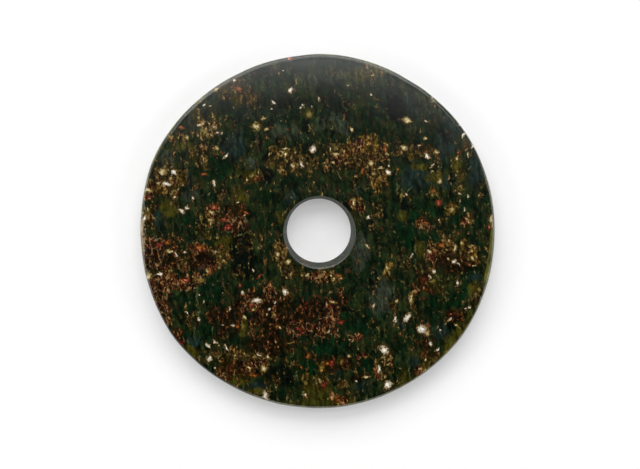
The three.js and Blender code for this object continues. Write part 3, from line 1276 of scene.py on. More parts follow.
    def mesh(self) -> bpy.types.Mesh:
        """The closed mesh with the stone's grounds as attributes.

        Returns:
            The mesh, in metres.
        """
        places = self.settled(self.points())
        rows = len(places) // self.around
        index = np.arange(rows * self.around).reshape(rows, self.around)
        next_row = np.roll(index, -1, axis=0)
        quads = np.stack(
            [index, np.roll(index, -1, axis=1), np.roll(next_row, -1, axis=1), next_row],
            axis=-1,
        ).reshape(-1, 4)
        mesh = bpy.data.meshes.new("ground_disc")
        mesh.from_pydata(places.tolist(), [], quads.tolist())
        mesh.validate()
        mesh.shade_smooth()
        for name, values in self.grounds(places / MM).items():
            layer = mesh.attributes.new(name, "FLOAT", "POINT")
            layer.data.foreach_set("value", values.astype(np.float32))
        return mesh

    def grounds(self, places: np.ndarray) -> dict[str, np.ndarray]:
        """What the stone is made of at each point.

        Args:
            places: The points, in millimetres.

        Returns:
            The share of each ground at each point, by its attribute's name.
        """
        x, y, z = places.T
        depth = 1.0 - z / self.thickness
        x = x + self.slant[0] * depth + sum(far * grain.at(x, y, z) for far, grain in SIDEWAYS)
        y = y + self.slant[1] * depth + sum(far * grain.at(x, y, z) for far, grain in UPWARDS)
        shares = {}
        for ground, clouds in CLOUDS.items():
            bare = np.ones_like(x)
            for cloud in clouds:
                bare *= 1.0 - cloud.share(x, y)
            shares[ground.value] = 1.0 - bare
        # Painted light: where light through the thin rim and its lit edge is painted.
        shares["painted_rim_glow"] = self.painted_rim_glow(places)
        shares["bore"] = self.bore(places)
        return shares

    def bore(self, places: np.ndarray) -> np.ndarray:
        """Which points lie on the hole's wall.

        Args:
            places: The points, in millimetres.

        Returns:
            1 on the wall and 0 away from it.
        """
        x, y, z = places.T
        to_right, upwards = self.drift(z)
        away = np.hypot(x - to_right, y - upwards)
        inside, outside = self.bore_edge
        return 1.0 - ramp(away, self.mouth + inside, self.mouth + outside)

    def painted_rim_glow(self, places: np.ndarray) -> np.ndarray:
        """Where light coming through the thin rim, and the rim's lit edge, are painted into the
        colour.

        Args:
            places: The points, in millimetres.

        Returns:
            The strength of the painted light at each, from 0 to 1.
        """
        x, y, z = places.T
        angle = np.arctan2(y, x)
        inward = self.radius + self.rim_rise(angle) - np.hypot(x, y)
        total = np.zeros_like(x)
        for painted_rim_glow in self.glows:
            middle = (painted_rim_glow.start + painted_rim_glow.end) / 2
            half = (painted_rim_glow.end - painted_rim_glow.start) / 2
            away = np.abs((np.degrees(angle) - middle + 180) % 360 - 180)
            along = 1.0 - ramp(away, half - self.glow_fade, half + self.glow_fade)
            across = 1.0 - ramp(inward, painted_rim_glow.width - painted_rim_glow.soft / 2, painted_rim_glow.width + painted_rim_glow.soft / 2)
            total = np.maximum(total, painted_rim_glow.strength * along * across)
        low, high = (self.thickness - depth for depth in self.glow_depth)
        return total * ramp(z, low, high)

    def build(self, finish: bpy.types.Material) -> bpy.types.Object:
        """Makes the disc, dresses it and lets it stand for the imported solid.

        Args:
            finish: The stone's material.

        Returns:
            The finished piece.
        """
        disc = bpy.data.objects.new("ground_disc", self.mesh())
        bpy.context.scene.collection.objects.link(disc)
        disc.data.materials.append(finish)
        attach(disc, "root")
        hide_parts("jade_disc")
        return disc


@dataclass(frozen=True)
class Pattern:
    """A cloudy noise: the size of its lumps, how many finer layers it has, how strong those are,
    how far it is twisted, and how it leans to the left in degrees."""

    wide: float
    long: float
    high: float
    detail: float
    rough: float = 0.5
    twist: float = 0.0
    lean: float = GRAIN_LEAN


DRIFT = Pattern(6.0, 9.0, 8.0, detail=3.0, rough=0.55)
HUE = Pattern(4.0, 7.0, 6.0, detail=3.0, rough=0.6, twist=0.8)
STREAK = Pattern(1.5, 4.2, 2.5, detail=3.0, rough=0.65)
CLUMP = Pattern(2.6, 5.2, 3.5, detail=2.5, rough=0.6)
LACE = Pattern(1.15, 1.9, 1.5, detail=3.0, rough=0.75, twist=0.4)
ODD_GRAIN = Pattern(1.5, 2.1, 1.8, detail=1.5, rough=0.6)
WILD = Pattern(7.0, 10.0, 8.0, detail=2.0)
FIBRE = Pattern(2.0, 8.0, 3.0, detail=2.0, lean=6.0)
THREADY = Pattern(3.4, 5.0, 4.0, detail=1.5, lean=0.0)
GRIT = Pattern(0.9, 1.2, 1.0, detail=2.0, rough=0.7)
WEAR = Pattern(14.0, 14.0, 14.0, detail=3.0, rough=0.6, lean=0.0)
BRUSHED = Pattern(4 * MM, 4 * MM, 4 * MM, detail=3.0, lean=0.0)


@dataclass(frozen=True)
class Stir:
    """How a place is pulled about: the size of the pulls and how far they go, in millimetres."""

    lump: float
    reach: float


BROAD_STIR = Stir(9.0, 3.0)
LOOSE_STIR = Stir(4.5, 1.8)
FINE_STIR = Stir(2.0, 0.9)
FLECK_STIRS = (Stir(2.6, 1.3), Stir(1.0, 0.8))


@dataclass(frozen=True)
class Shading:
    """How a pattern darkens and lightens a colour, with the limits that it keeps."""

    gain: float
    offset: float
    darkest: float | None = None
    lightest: float | None = None


STREAK_SHADING = Shading(2.4, -0.25, darkest=0.3)
FIBRE_SHADING = Shading(3.6, -0.8, darkest=0.35)
THREAD_SHADING = Shading(4.0, -1.3)
FLECK_SHADING = Shading(4.5, -1.3, darkest=0.3, lightest=1.15)


@dataclass(frozen=True)
class Halo:
    """A stained ring round a fleck, in its half sizes, and how strong the stain is."""

    far: float
    near: float
    strength: float


# Where each ground starts and where it is full. The clear ones have the last edges.
EDGES: dict[Ground, tuple[float, float]] = {
    Ground.CALM: (0.1, 0.9),
    Ground.MOSS: (0.2, 0.9),
    Ground.UMBER: (0.2, 0.9),
    Ground.RUST: (0.05, 0.6),
    Ground.GOLD: (0.2, 0.8),
    Ground.CRUST: (0.55, 1.0),
}
CLEAR_EDGES = (0.05, 0.95)

CLEAR_TINTS: dict[Ground, Tint] = {
    Ground.GREEN: Tint.GREEN,
    Ground.TEAL: Tint.TEAL,
    Ground.SLATE: Tint.SLATE,
    Ground.OLIVE: Tint.OLIVE,
    Ground.BLACK: Tint.BLACK,
}

# The outer and the inner stain round each colour of fleck, and how opaque each colour is.
STAINS: dict[Tint, tuple[Tint, Tint]] = {
    Tint.WHITE: (Tint.BROWN, Tint.TAN),
    Tint.CREAM: (Tint.BROWN, Tint.STRAW),
    Tint.PINK: (Tint.RED, Tint.RED),
    Tint.AMBER: (Tint.BROWN, Tint.BROWN),
}
OPACITY: dict[Tint, float] = {
    Tint.WHITE: 1.0,
    Tint.CREAM: 0.95,
    Tint.STRAW: 0.75,
    Tint.AMBER: 0.85,
    Tint.RED: 0.9,
    Tint.PINK: 0.85,
    Tint.PALE_GREEN: 0.6,
    Tint.BROWN: 0.8,
}


class Bench:
    """A material's node tree while it is wired, with a short method for each kind of node."""

    # The sockets of a mix of two colours.
    MIX_SHARE, MIX_UNDER, MIX_OVER, MIX_RESULT = 0, 6, 7, 2

    def __init__(self, tree: bpy.types.NodeTree) -> None:
        """Starts on a tree.

        Args:
            tree: The node tree to wire.
        """
        self.tree = tree

    def node(self, kind: str, **settings: object) -> bpy.types.Node:
        """Adds a node.

        Args:
            kind: The node's type.
            settings: Its properties.

        Returns:
            The node.
        """
        made = self.tree.nodes.new(kind)
        for name, value in settings.items():
            setattr(made, name, value)
        return made

    def feed(self, socket: bpy.types.NodeSocket, source: Source) -> None:
        """Links a socket, or sets its value.

        Args:
            socket: The socket that takes it.
            source: Another node's output, or a plain value.
        """
        if isinstance(source, bpy.types.NodeSocket):
            self.tree.links.new(source, socket)
        else:
            socket.default_value = source

    def math(self, how: str, *values: Source) -> bpy.types.NodeSocket:
        """Works on numbers.

        Args:
            how: The operation.
            values: What it works on.

        Returns:
            The result.
        """
        made = self.node("ShaderNodeMath", operation=how)
        for socket, value in zip(made.inputs, values):
            self.feed(socket, value)
        return made.outputs[0]

    def swing(self, value: Source, reach: float, about: float = 0.0) -> bpy.types.NodeSocket:
        """Makes a pattern swing evenly about a number.

        Args:
            value: The pattern, from 0 to 1.
            reach: How far it swings in all.
            about: The number that it swings about.

        Returns:
            The number that swings.
        """
        return self.math("MULTIPLY_ADD", value, reach, about - reach / 2)

    def vector(self, how: str, *values: Source) -> bpy.types.NodeSocket:
        """Works on vectors.

        Args:
            how: The operation.
            values: What it works on.

        Returns:
            The result, a number for a length.
        """
        made = self.node("ShaderNodeVectorMath", operation=how)
        for socket, value in zip(made.inputs, values):
            self.feed(socket, value)
        return made.outputs["Value" if how == "LENGTH" else "Vector"]

    def grade(self, value: Source, low: float, high: float) -> bpy.types.NodeSocket:
        """A smooth step from 0 to 1.

        Args:
            value: The number to grade.
            low: Where the step starts.
            high: Where it ends, which may be below its start.

        Returns:
            The graded number.
        """
        made = self.node("ShaderNodeMapRange", interpolation_type="SMOOTHSTEP")
        for socket, source in zip(made.inputs, (value, low, high, 0.0, 1.0)):
            self.feed(socket, source)
        return made.outputs[0]

    def mix(self, share: Source, under: Source, over: Source) -> bpy.types.NodeSocket:
        """Lays one colour over another.

        Args:
            share: How much of the upper one shows.
            under: The lower colour.
            over: The upper colour.

        Returns:
            The mixed colour.
        """
        made = self.node("ShaderNodeMix", data_type="RGBA")
        self.feed(made.inputs[self.MIX_SHARE], share)
        self.feed(made.inputs[self.MIX_UNDER], under)
        self.feed(made.inputs[self.MIX_OVER], over)
        return made.outputs[self.MIX_RESULT]

    def scale(
        self, place: Source, x: float, y: float, z: float, turn: float = 0.0
    ) -> bpy.types.NodeSocket:
        """Measures a place in lumps of a given size.

        Args:
            place: The place, in millimetres.
            x: The lumps' width.
            y: Their length.
            z: Their height.
            turn: How they lean to the left, in degrees.

        Returns:
            The place, in lumps.
        """
        made = self.node("ShaderNodeMapping", vector_type="TEXTURE")
        self.feed(made.inputs["Vector"], place)
        made.inputs["Rotation"].default_value = (0.0, 0.0, math.radians(turn))
        made.inputs["Scale"].default_value = (x, y, z)
        return made.outputs[0]

    def noise(self, place: Source, pattern: Pattern) -> bpy.types.Node:
        """Lays a noise pattern.

        Args:
            place: The place, in the units of the pattern's lumps.
            pattern: The pattern.

        Returns:
            The noise node.
        """
        lumps = self.scale(place, pattern.wide, pattern.long, pattern.high, pattern.lean)
        made = self.node("ShaderNodeTexNoise", noise_dimensions="3D")
        self.feed(made.inputs["Vector"], lumps)
        made.inputs["Scale"].default_value = 1.0
        made.inputs["Detail"].default_value = pattern.detail
        made.inputs["Roughness"].default_value = pattern.rough
        made.inputs["Distortion"].default_value = pattern.twist
        return made

    def cloudy(self, place: Source, pattern: Pattern) -> bpy.types.NodeSocket:
        """A noise pattern as a number from 0 to 1."""
        return self.noise(place, pattern).outputs["Fac"]

    def shadow(self, pattern: Source, shading: Shading) -> bpy.types.NodeSocket:
        """What a pattern does to the light of a colour.

        Args:
            pattern: The pattern, from 0 to 1.
            shading: How it darkens and lightens.

        Returns:
            The factor for the colour.
        """
        factor = self.math("MULTIPLY_ADD", pattern, shading.gain, shading.offset)
        if shading.darkest is not None:
            factor = self.math("MAXIMUM", factor, shading.darkest)
        if shading.lightest is not None:
            factor = self.math("MINIMUM", factor, shading.lightest)
        return factor

    def shade(self, colour: Source, factor: Source) -> bpy.types.NodeSocket:
        """Makes a colour darker or lighter.

        Args:
            colour: The colour.
            factor: What its light is multiplied by.

        Returns:
            The changed colour.
        """
        made = self.node("ShaderNodeVectorMath", operation="SCALE")
        self.feed(made.inputs["Vector"], colour[:3] if isinstance(colour, tuple) else colour)
        self.feed(made.inputs["Scale"], factor)
        return made.outputs["Vector"]

    def crumbs(self, tone: Source, crumb: Crumb) -> bpy.types.NodeSocket:
        """Colours a tone by a crumbly ground.

        Args:
            tone: From 0 in the gaps to 1 on the brightest grains.
            crumb: The ground.

        Returns:
            The colour.
        """
        made = self.node("ShaderNodeValToRGB")
        self.feed(made.inputs[0], tone)
        stops = crumb.colours()
        made.color_ramp.elements[0].position = stops[0][0]
        made.color_ramp.elements[0].color = stops[0][1]
        made.color_ramp.elements[1].position = stops[-1][0]
        made.color_ramp.elements[1].color = stops[-1][1]
        for place, tint in stops[1:-1]:
            made.color_ramp.elements.new(place).color = tint
        return made.outputs[0]

    def layer(self, name: str) -> bpy.types.NodeSocket:
        """A number that the mesh carries at each point."""
        made = self.node("ShaderNodeAttribute", attribute_name=name)
        return made.outputs["Fac"]


@dataclass(frozen=True)
class Mixture:
    """What the stone is made of at a place, each from 0 to 1, and how ragged the edges are."""

    ragged: Source
    calm: Source
    moss: Source
    umber: Source
    rust: Source
    gold: Source
    busy: Source


@dataclass(frozen=True)
class Nephrite:
    """Dark green nephrite, ground and polished, with brown moss, pale lace and flecks.

    Lengths are in millimetres. The fields that end in _reach say how far a pattern swings, and
    those that end in _light how much a ground lightens the crumbs.
    """

    roughness: float = 0.15
    refraction: float = 1.61
    wear_reach: float = 0.08
    bore_dullness: float = 0.4
    fleck_dullness: float = 0.12
    relief: float = 0.03
    relief_strength: float = 0.25

    edge_reach: float = 2.2
    clear_edge_reach: float = 1.8
    crust_edge_reach: float = 3.0
    wild_edge: tuple[float, float] = (0.53, 0.66)
    wild_share: float = 0.75
    calm_hold: float = -0.5

    light_patch: tuple[float, float] = (0.46, 0.58)
    earth_patch: tuple[float, float] = (0.54, 0.64)
    black_patch: tuple[float, float] = (0.44, 0.34)

    lace_reach: float = 2.3
    clump_reach: float = 1.5
    grain_reach: float = 0.8
    base_light: float = -0.08
    crumb_light: float = 0.10
    busy_light: float = 0.38
    umber_light: float = -0.11
    calm_light: float = -0.24
    rust_level: float = 0.48
    rust_evenness: float = 0.12
    cover_edge: tuple[float, float] = (0.08, 0.30)
    busy_cover: float = 0.8

    odd_gain: float = 4.0
    gold_need: float = 2.5
    gold_edge: tuple[float, float] = (0.1, 0.6)
    rust_need: float = 2.75
    rust_edge: tuple[float, float] = (0.0, 0.5)
    rust_in_busy: float = 0.45
    rust_in_umber: float = 0.3

    # The painted rim light: how ragged it is, where it starts and is full, and how strong it is.
    glow_reach: float = 0.5
    glow_edge: tuple[float, float] = (0.45, 1.0)
    glow_strength: float = 0.8
    crust_strength: float = 0.8

    thread_cells: tuple[float, float, float] = (2.6, 5.2, 4.0)
    thread_break: float = -0.55
    thread_edge: tuple[float, float] = (-0.19, -0.29)
    thread_patch: tuple[float, float] = (0.36, 0.56)
    moss_threads: float = 0.14
    moss_thread_edge: tuple[float, float] = (0.5, 1.3)
    rust_threads: float = 0.45

    top: float = 12.0
    fleck_depth: float = 3.5
    fleck_edge: tuple[float, float] = (1.05, 0.4)
    fray: tuple[float, float] = (3.0, -1.4)
    halos: tuple[Halo, Halo] = (Halo(2.0, 1.2, 0.55), Halo(1.4, 0.9, 0.7))
    beyond: float = 9.0

    def place(self, bench: Bench) -> bpy.types.NodeSocket:
        """The place in the stone, in millimetres."""
        spot = bench.node("ShaderNodeTexCoord").outputs["Object"]
        return bench.scale(spot, MM, MM, MM)

    def stirred(self, bench: Bench, place: Source, stir: Stir) -> bpy.types.NodeSocket:
        """Pulls a place about, so that edges drawn from it are uneven.

        Args:
            bench: The tree.
            place: The place, in millimetres.
            stir: How it is pulled.

        Returns:
            The moved place.
        """
        pulls = Pattern(stir.lump, stir.lump, stir.lump, detail=1.5, lean=0.0)
        noise = bench.noise(place, pulls)
        pull = bench.vector("SUBTRACT", noise.outputs["Color"], (0.5, 0.5, 0.5))
        unit = 0.5 / stir.reach
        return bench.vector("ADD", place, bench.scale(pull, unit, unit, unit))

    def ground(self, bench: Bench, name: Ground, ragged: Source) -> bpy.types.NodeSocket:
        """A ground's share with a ragged edge.

        Args:
            bench: The tree.
            name: The ground.
            ragged: A number about 0 that moves the edge.

        Returns:
            Its share, from 0 to 1.
        """
        share = bench.math("ADD", bench.layer(name.value), ragged)
        return bench.grade(share, *EDGES.get(name, CLEAR_EDGES))

    def leaning(self, bench: Bench, place: Source) -> dict[int, bpy.types.NodeSocket]:
        """Turns the place to lie along each lean that the inclusions have.

        Args:
            bench: The tree.
            place: The place, in millimetres.

        Returns:
            The turned place for each lean, in degrees.
        """
        leans = {one.laid[0] for ones in INCLUSIONS.values() for one in ones}
        return {lean: bench.scale(place, 1.0, 1.0, 1.0, -lean) for lean in sorted(leans)}

    def inclusions(
        self, bench: Bench, turned: dict[int, bpy.types.NodeSocket], tint: Tint
    ) -> bpy.types.NodeSocket:
        """How far a place is from the nearest inclusion of one colour.

        Args:
            bench: The tree.
            turned: The place along each lean.
            tint: The inclusions' colour.

        Returns:
            The distance in the inclusion's own half sizes, 1 at its edge.
        """
        nearest: Source = self.beyond
        for one in INCLUSIONS[tint]:
            lean, wide, long = one.laid
            turn = math.radians(lean)
            middle = Vector(
                (
                    one.x * math.cos(turn) - one.y * math.sin(turn),
                    one.x * math.sin(turn) + one.y * math.cos(turn),
                    self.top - self.fleck_depth * one.sunk,
                )
            )
            grow = Vector((2.0 / wide, 2.0 / long, 1.0 / self.fleck_depth))
            away = bench.vector("MULTIPLY_ADD", turned[lean], grow, -(middle * grow))
            nearest = bench.math("MINIMUM", nearest, bench.vector("LENGTH", away))
        return nearest

    def clear(self, bench: Bench, place: Source) -> bpy.types.NodeSocket:
        """Paints the clear stone between the crumbs.

        Args:
            bench: The tree.
            place: The place, in millimetres.

        Returns:
            Its colour.
        """
        loose = self.stirred(bench, place, BROAD_STIR)
        drift = bench.cloudy(loose, DRIFT)
        hue = bench.cloudy(loose, HUE)
        streak = bench.cloudy(loose, STREAK)
        ragged = bench.swing(hue, self.clear_edge_reach)

        light = bench.grade(drift, *self.light_patch)
        colour = bench.mix(light, Tint.BODY.linear, Tint.BODY_LIGHT.linear)
        colour = bench.mix(bench.grade(hue, *self.earth_patch), colour, Tint.EARTH.linear)
        colour = bench.mix(bench.grade(hue, *self.black_patch), colour, Tint.BLACK.linear)
        for name, tint in CLEAR_TINTS.items():
            colour = bench.mix(self.ground(bench, name, ragged), colour, tint.linear)
        return bench.shade(colour, bench.shadow(streak, STREAK_SHADING))

    def mixture(self, bench: Bench, loose: Source, clump: Source) -> Mixture:
        """Reads what the stone is made of.

        Args:
            bench: The tree.
            loose: The stirred place, in millimetres.
            clump: The middling pattern, which makes the edges ragged.

        Returns:
            The share of each crumbly ground, and of all of them.
        """
        ragged = bench.swing(clump, self.edge_reach)
        calm = self.ground(bench, Ground.CALM, ragged)
        moss = self.ground(bench, Ground.MOSS, ragged)
        umber = self.ground(bench, Ground.UMBER, ragged)
        rust = self.ground(bench, Ground.RUST, ragged)
        gold = self.ground(bench, Ground.GOLD, ragged)
        busy = bench.math("MAXIMUM", bench.math("MAXIMUM", moss, umber), rust)
        busy = bench.math("MAXIMUM", busy, gold)
        wild = bench.math("MULTIPLY_ADD", calm, self.calm_hold, bench.cloudy(loose, WILD))
        wild = bench.math("MULTIPLY", bench.grade(wild, *self.wild_edge), self.wild_share)
        busy = bench.math("MAXIMUM", busy, wild)
        moss = bench.math("MAXIMUM", moss, wild)
        return Mixture(ragged, calm, moss, umber, rust, gold, busy)

    def crumb_colour(
        self, bench: Bench, tone: Source, odd: tuple[Source, Source], made_of: Mixture
    ) -> bpy.types.NodeSocket:
        """Paints the crumbs.

        Args:
            bench: The tree.
            tone: How light each crumb is.
            odd: Two numbers that say which crumbs are rusty and which golden.
            made_of: What the stone is made of.

        Returns:
            Their colour.
        """
        for_rust, for_gold = odd
        dust, moss = (bench.crumbs(tone, CRUMBS[name]) for name in ("dust", "moss"))
        colour = bench.mix(made_of.moss, dust, moss)
        colour = bench.mix(made_of.umber, colour, bench.crumbs(tone, CRUMBS["umber"]))

        golden = bench.math("SUBTRACT", made_of.gold, self.gold_need)
        golden = bench.math("MULTIPLY_ADD", for_gold, self.odd_gain, golden)
        golden = bench.grade(golden, *self.gold_edge)
        colour = bench.mix(golden, colour, bench.crumbs(tone, CRUMBS["gold"]))

        rusty = bench.math("SUBTRACT", made_of.rust, self.rust_need)
        rusty = bench.math("MULTIPLY_ADD", for_rust, self.odd_gain, rusty)
        rusty = bench.math("MULTIPLY_ADD", made_of.busy, self.rust_in_busy, rusty)
        rusty = bench.math("MULTIPLY_ADD", made_of.umber, self.rust_in_umber, rusty)
        rusty = bench.grade(rusty, *self.rust_edge)
        return bench.mix(rusty, colour, bench.crumbs(tone, CRUMBS["rust"]))

    def colour(self, bench: Bench, place: Source) -> tuple[bpy.types.NodeSocket, ...]:
        """Paints the stone.

        Args:
            bench: The tree.
            place: The place, in millimetres.

        Returns:
            The colour, how coarse the surface is there, and the grain that its relief follows.
        """
        loose = self.stirred(bench, place, LOOSE_STIR)
        fine = self.stirred(bench, place, FINE_STIR)
        clump = bench.cloudy(loose, CLUMP)
        lace = bench.cloudy(fine, LACE)
        odd = bench.noise(place, ODD_GRAIN)
        pick = bench.node("ShaderNodeSeparateColor")
        bench.feed(pick.inputs[0], odd.outputs["Color"])
        for_rust, for_gold, for_tone = pick.outputs

        made_of = self.mixture(bench, loose, clump)
        tone = bench.math("MULTIPLY_ADD", made_of.busy, self.busy_light, self.base_light)
        tone = bench.math("MULTIPLY_ADD", made_of.umber, self.umber_light, tone)
        tone = bench.math("MULTIPLY_ADD", made_of.calm, self.calm_light, tone)
        tone = bench.math("ADD", bench.swing(lace, self.lace_reach), tone)
        tone = bench.math("ADD", bench.swing(clump, self.clump_reach), tone)
        covered = bench.math("MULTIPLY", made_of.busy, self.busy_cover)
        covered = bench.math("MAXIMUM", bench.grade(tone, *self.cover_edge), covered)
        grain = bench.swing(for_tone, self.grain_reach, self.crumb_light)
        tone = bench.math("ADD", grain, tone)
        even = bench.math("SUBTRACT", self.rust_level, tone)
        even = bench.math("MULTIPLY", even, made_of.rust)
        tone = bench.math("MULTIPLY_ADD", even, self.rust_evenness, tone)
        crumbs = self.crumb_colour(bench, tone, (for_rust, for_gold), made_of)
        colour = bench.mix(covered, self.clear(bench, place), crumbs)

        # Painted light: light coming through the thin rim and the rim's lit edge, painted as pale
        # olive into the colour.
        painted_rim_glow = bench.math("MULTIPLY_ADD", clump, self.glow_reach, bench.layer("painted_rim_glow"))
        painted_rim_glow = bench.math("MULTIPLY", bench.grade(painted_rim_glow, *self.glow_edge), self.glow_strength)
        colour = bench.mix(painted_rim_glow, colour, Tint.PAINTED_RIM_GLOW.linear)
        fibre = bench.cloudy(loose, FIBRE)
        colour = bench.shade(colour, bench.shadow(fibre, FIBRE_SHADING))
        colour = self.threads(bench, loose, lace, colour, made_of)
        colour, coarse = self.flecks(bench, place, colour)

        crust = self.ground(bench, Ground.CRUST, bench.swing(lace, self.crust_edge_reach))
        weathered = bench.math("MULTIPLY", crust, self.crust_strength)
        colour = bench.mix(weathered, colour, Tint.CRUST.linear)
        return colour, bench.math("MAXIMUM", coarse, crust), lace

    def threads(
        self, bench: Bench, place: Source, grain: Source, colour: Source, made_of: Mixture
    ) -> bpy.types.NodeSocket:
        """Draws the pale threads that wander through the crumbly grounds.

        Args:
            bench: The tree.
            place: The stirred place, in millimetres.
            grain: The fine grain, which breaks them up.
            colour: The stone without them.
            made_of: What the stone is made of.

        Returns:
            The colour with them.
        """
        mossy = bench.math("ADD", made_of.moss, made_of.ragged)
        mossy = bench.math("SUBTRACT", mossy, made_of.umber)
        cells = bench.scale(place, *self.thread_cells, GRAIN_LEAN)
        net = bench.node("ShaderNodeTexVoronoi", feature="DISTANCE_TO_EDGE")
        net.inputs["Scale"].default_value = 1.0
        bench.feed(net.inputs["Vector"], cells)
        broken = bench.math("MULTIPLY_ADD", grain, self.thread_break, net.outputs["Distance"])
        wire = bench.grade(broken, *self.thread_edge)
        patch = bench.grade(bench.cloudy(place, THREADY), *self.thread_patch)
        where = bench.grade(mossy, *self.moss_thread_edge)
        where = bench.math("MULTIPLY", where, self.moss_threads)
        where = bench.math("MULTIPLY_ADD", made_of.rust, self.rust_threads, where)
        where = bench.math("MULTIPLY", where, patch)
        pale = bench.mix(made_of.rust, Tint.TAN.linear, Tint.SHELL.linear)
        pale = bench.shade(pale, bench.shadow(grain, THREAD_SHADING))
        return bench.mix(bench.math("MULTIPLY", wire, where), colour, pale)

    def flecks(
        self, bench: Bench, place: Source, colour: Source
    ) -> tuple[bpy.types.NodeSocket, bpy.types.NodeSocket]:
        """Lays the larger flecks and veins into the stone, one colour after another.

        Args:
            bench: The tree.
            place: The place, in millimetres.
            colour: The stone without them.

        Returns:
            The colour with them, and how much of them is coarse.
        """
        near = place
        for stir in FLECK_STIRS:
            near = self.stirred(bench, near, stir)
        turned = self.leaning(bench, near)
        grit = bench.cloudy(place, GRIT)
        fray = bench.math("MULTIPLY_ADD", grit, *self.fray)
        glint = bench.shadow(grit, FLECK_SHADING)
        coarse: Source = 0.0
        for tint in INCLUSIONS:
            away = bench.math("ADD", self.inclusions(bench, turned, tint), fray)
            for stain, halo in zip(STAINS.get(tint, ()), self.halos):
                share = bench.grade(away, halo.far, halo.near)
                share = bench.math("MULTIPLY", share, halo.strength)
                colour = bench.mix(share, colour, stain.linear)
            inside = bench.grade(away, *self.fleck_edge)
            shine = bench.shade(tint.linear, glint)
            colour = bench.mix(bench.math("MULTIPLY", inside, OPACITY[tint]), colour, shine)
            coarse = bench.math("MAXIMUM", coarse, inside)
        return colour, coarse

    def build(self) -> bpy.types.Material:
        """Makes the material.

        Returns:
            The stone's material.
        """
        stone = bpy.data.materials.new("nephrite")
        stone.use_nodes = True
        bench = Bench(stone.node_tree)
        shader = stone.node_tree.nodes["Principled BSDF"]
        place = self.place(bench)
        colour, coarse, lace = self.colour(bench, place)
        bench.feed(shader.inputs["Base Color"], colour)
        shader.inputs["IOR"].default_value = self.refraction

        dull = bench.swing(bench.cloudy(place, WEAR), self.wear_reach, self.roughness)
        dull = bench.math("MULTIPLY_ADD", bench.layer("bore"), self.bore_dullness, dull)
        dull = bench.math("MULTIPLY_ADD", coarse, self.fleck_dullness, dull)
        bench.feed(shader.inputs["Roughness"], dull)

        bump = bench.node("ShaderNodeBump")
        bump.inputs["Strength"].default_value = self.relief_strength
        bump.inputs["Distance"].default_value = self.relief * MM
        bench.feed(bump.inputs["Height"], lace)
        bench.feed(shader.inputs["Normal"], bump.outputs[0])
        return stone


@dataclass(frozen=True)
class Softbox:
    """A soft light, by where it hangs as seen from the disc. Its tilt is in degrees from straight
    up, its heading in degrees round from the right, and its sizes in metres."""

    name: str
    tilt: float
    heading: float
    away: float
    wide: float
    tall: float
    radiance: float

    def hang(self) -> bpy.types.Object:
        """Hangs the light so that it faces the disc.

        Returns:
            The light.
        """
        lamp = bpy.data.lights.new(self.name, "AREA")
        lamp.shape = "RECTANGLE"
        lamp.size = self.wide
        lamp.size_y = self.tall
        lamp.energy = self.radiance * math.pi * self.wide * self.tall
        tilt, heading = math.radians(self.tilt), math.radians(self.heading)
        way = Vector(
            (math.sin(tilt) * math.cos(heading), math.sin(tilt) * math.sin(heading), math.cos(tilt))
        )
        light = bpy.data.objects.new(self.name, lamp)
        light.location = way * self.away
        light.rotation_euler = way.to_track_quat("Z", "Y").to_euler()
        bpy.context.scene.collection.objects.link(light)
        return light


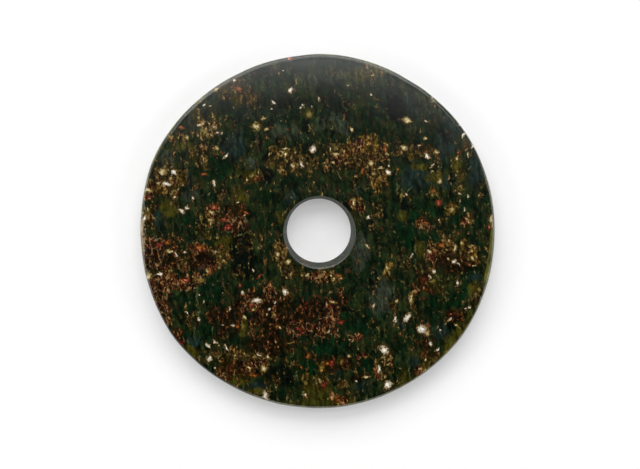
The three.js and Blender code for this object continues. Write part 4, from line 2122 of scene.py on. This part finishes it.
@dataclass
class Studio:
    """The light table, the lights and the camera that looks straight down, in metres."""

    camera_height: float = 1.097
    camera_shift: tuple[float, float] = (1.39 * MM, -1.95 * MM)
    lens: float = 109.0
    film: float = 36.0
    floor_radius: float = 4.5
    wall_height: float = 3.0
    cove: float = 1.4
    cove_step: int = 6
    flat_rings: tuple[float, ...] = (0.15, 0.6)
    facets: int = 96
    white: float = 0.94
    table_greys: tuple[float, float] = (0.64, 0.66)
    table_glow: float = 0.31
    table_roughness: float = 0.9
    table_sheen: float = 0.1
    softboxes: tuple[Softbox, ...] = (
        Softbox("key", 50, 96, 3.2, 4.4, 2.2, 4.3),
        Softbox("top_card", 18.7, 94, 3.0, 2.7, 0.6, 3.1),
        Softbox("haze_card", 12.0, 84, 3.0, 3.2, 0.32, 0.65),
        Softbox("left_fill", 62, 180, 3.4, 2.2, 1.4, 3.3),
        Softbox("right_fill", 62, 0, 3.4, 2.2, 1.4, 3.3),
        Softbox("low_fill", 60, 270, 3.4, 3.0, 1.4, 1.6),
    )

    def table_top(self) -> bpy.types.Material:
        """The light table's matt white top, which glows faintly from below.

        Returns:
            Its material.
        """
        white = bpy.data.materials.new("table_top")
        white.use_nodes = True
        bench = Bench(white.node_tree)
        shader = white.node_tree.nodes["Principled BSDF"]
        spot = bench.node("ShaderNodeTexCoord").outputs["Object"]
        darker, lighter = ((grey, grey, grey, 1.0) for grey in self.table_greys)
        pale = bench.mix(bench.cloudy(spot, BRUSHED), darker, lighter)
        bench.feed(shader.inputs["Base Color"], pale)
        shader.inputs["Roughness"].default_value = self.table_roughness
        shader.inputs["Specular IOR Level"].default_value = self.table_sheen
        shader.inputs["Emission Color"].default_value = (1.0, 1.0, 1.0, 1.0)
        shader.inputs["Emission Strength"].default_value = self.table_glow
        return white

    def floor(self) -> bpy.types.Object:
        """Lays the floor, which curves up into a wall all round.

        Returns:
            The floor.
        """
        around = self.facets
        rows = [(radius, 0.0) for radius in self.flat_rings]
        for degrees in range(0, 91, self.cove_step):
            bend = math.radians(degrees)
            height = self.cove * (1 - math.cos(bend))
            rows.append((self.floor_radius + self.cove * math.sin(bend), height))
        rows.append((self.floor_radius + self.cove, self.wall_height))
        points = [(0.0, 0.0, 0.0)]
        for radius, height in rows:
            for i in range(around):
                turn = 2 * math.pi * i / around
                points.append((radius * math.cos(turn), radius * math.sin(turn), height))
        faces: list[tuple[int, ...]] = []
        for i in range(around):
            after = (i + 1) % around
            faces.append((0, 1 + i, 1 + after))
            for row in range(len(rows) - 1):
                low, high = 1 + row * around, 1 + (row + 1) * around
                faces.append((low + i, high + i, high + after, low + after))
        mesh = bpy.data.meshes.new("floor")
        mesh.from_pydata(points, [], faces)
        mesh.shade_smooth()
        mesh.materials.append(self.table_top())
        floor = bpy.data.objects.new("floor", mesh)
        bpy.context.scene.collection.objects.link(floor)
        return floor

    def camera(self) -> bpy.types.Object:
        """Sets the camera above the disc.

        Returns:
            The camera.
        """
        eye = bpy.data.cameras.new("camera")
        eye.lens = self.lens
        eye.sensor_width = self.film
        eye.dof.use_dof = False
        camera = bpy.data.objects.new("camera", eye)
        camera.location = (*self.camera_shift, self.camera_height)
        bpy.context.scene.collection.objects.link(camera)
        bpy.context.scene.camera = camera
        return camera

    def dark(self) -> bpy.types.World:
        """Darkens the room, so that the polish mirrors nothing but the lights and the table.

        Returns:
            The world.
        """
        world = bpy.data.worlds.new("dark_room")
        world.use_nodes = True
        world.node_tree.nodes["Background"].inputs["Color"].default_value = (0, 0, 0, 1)
        bpy.context.scene.world = world
        return world

    def print_white(self) -> None:
        """Keeps the brightest white a little below full, as in a print, with no film curve."""
        view = bpy.context.scene.view_settings
        view.view_transform = "Standard"
        view.use_curve_mapping = True
        for_all_colours = view.curve_mapping.curves[3]
        brightest = for_all_colours.points[-1]
        brightest.location = (1.0, self.white)
        view.curve_mapping.update()

    def build(self) -> list[bpy.types.Object]:
        """Sets the studio up.

        Returns:
            The floor, the camera and the lights.
        """
        self.dark()
        self.print_white()
        return [self.floor(), self.camera(), *(box.hang() for box in self.softboxes)]


def main() -> None:
    """Builds the disc and the studio round it, and logs the disc's faces and the studio's pieces.
    """
    logging.basicConfig(level=logging.INFO, format="%(name)s: %(message)s")
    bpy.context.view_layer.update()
    low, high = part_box("jade_disc")
    disc = GroundDisc(low, high).build(Nephrite().build())
    LOG.info("%s: %d faces", disc.name, len(disc.data.polygons))
    for thing in Studio().build():
        LOG.info("%s", thing.name)


if __name__ == "__main__":
    main()
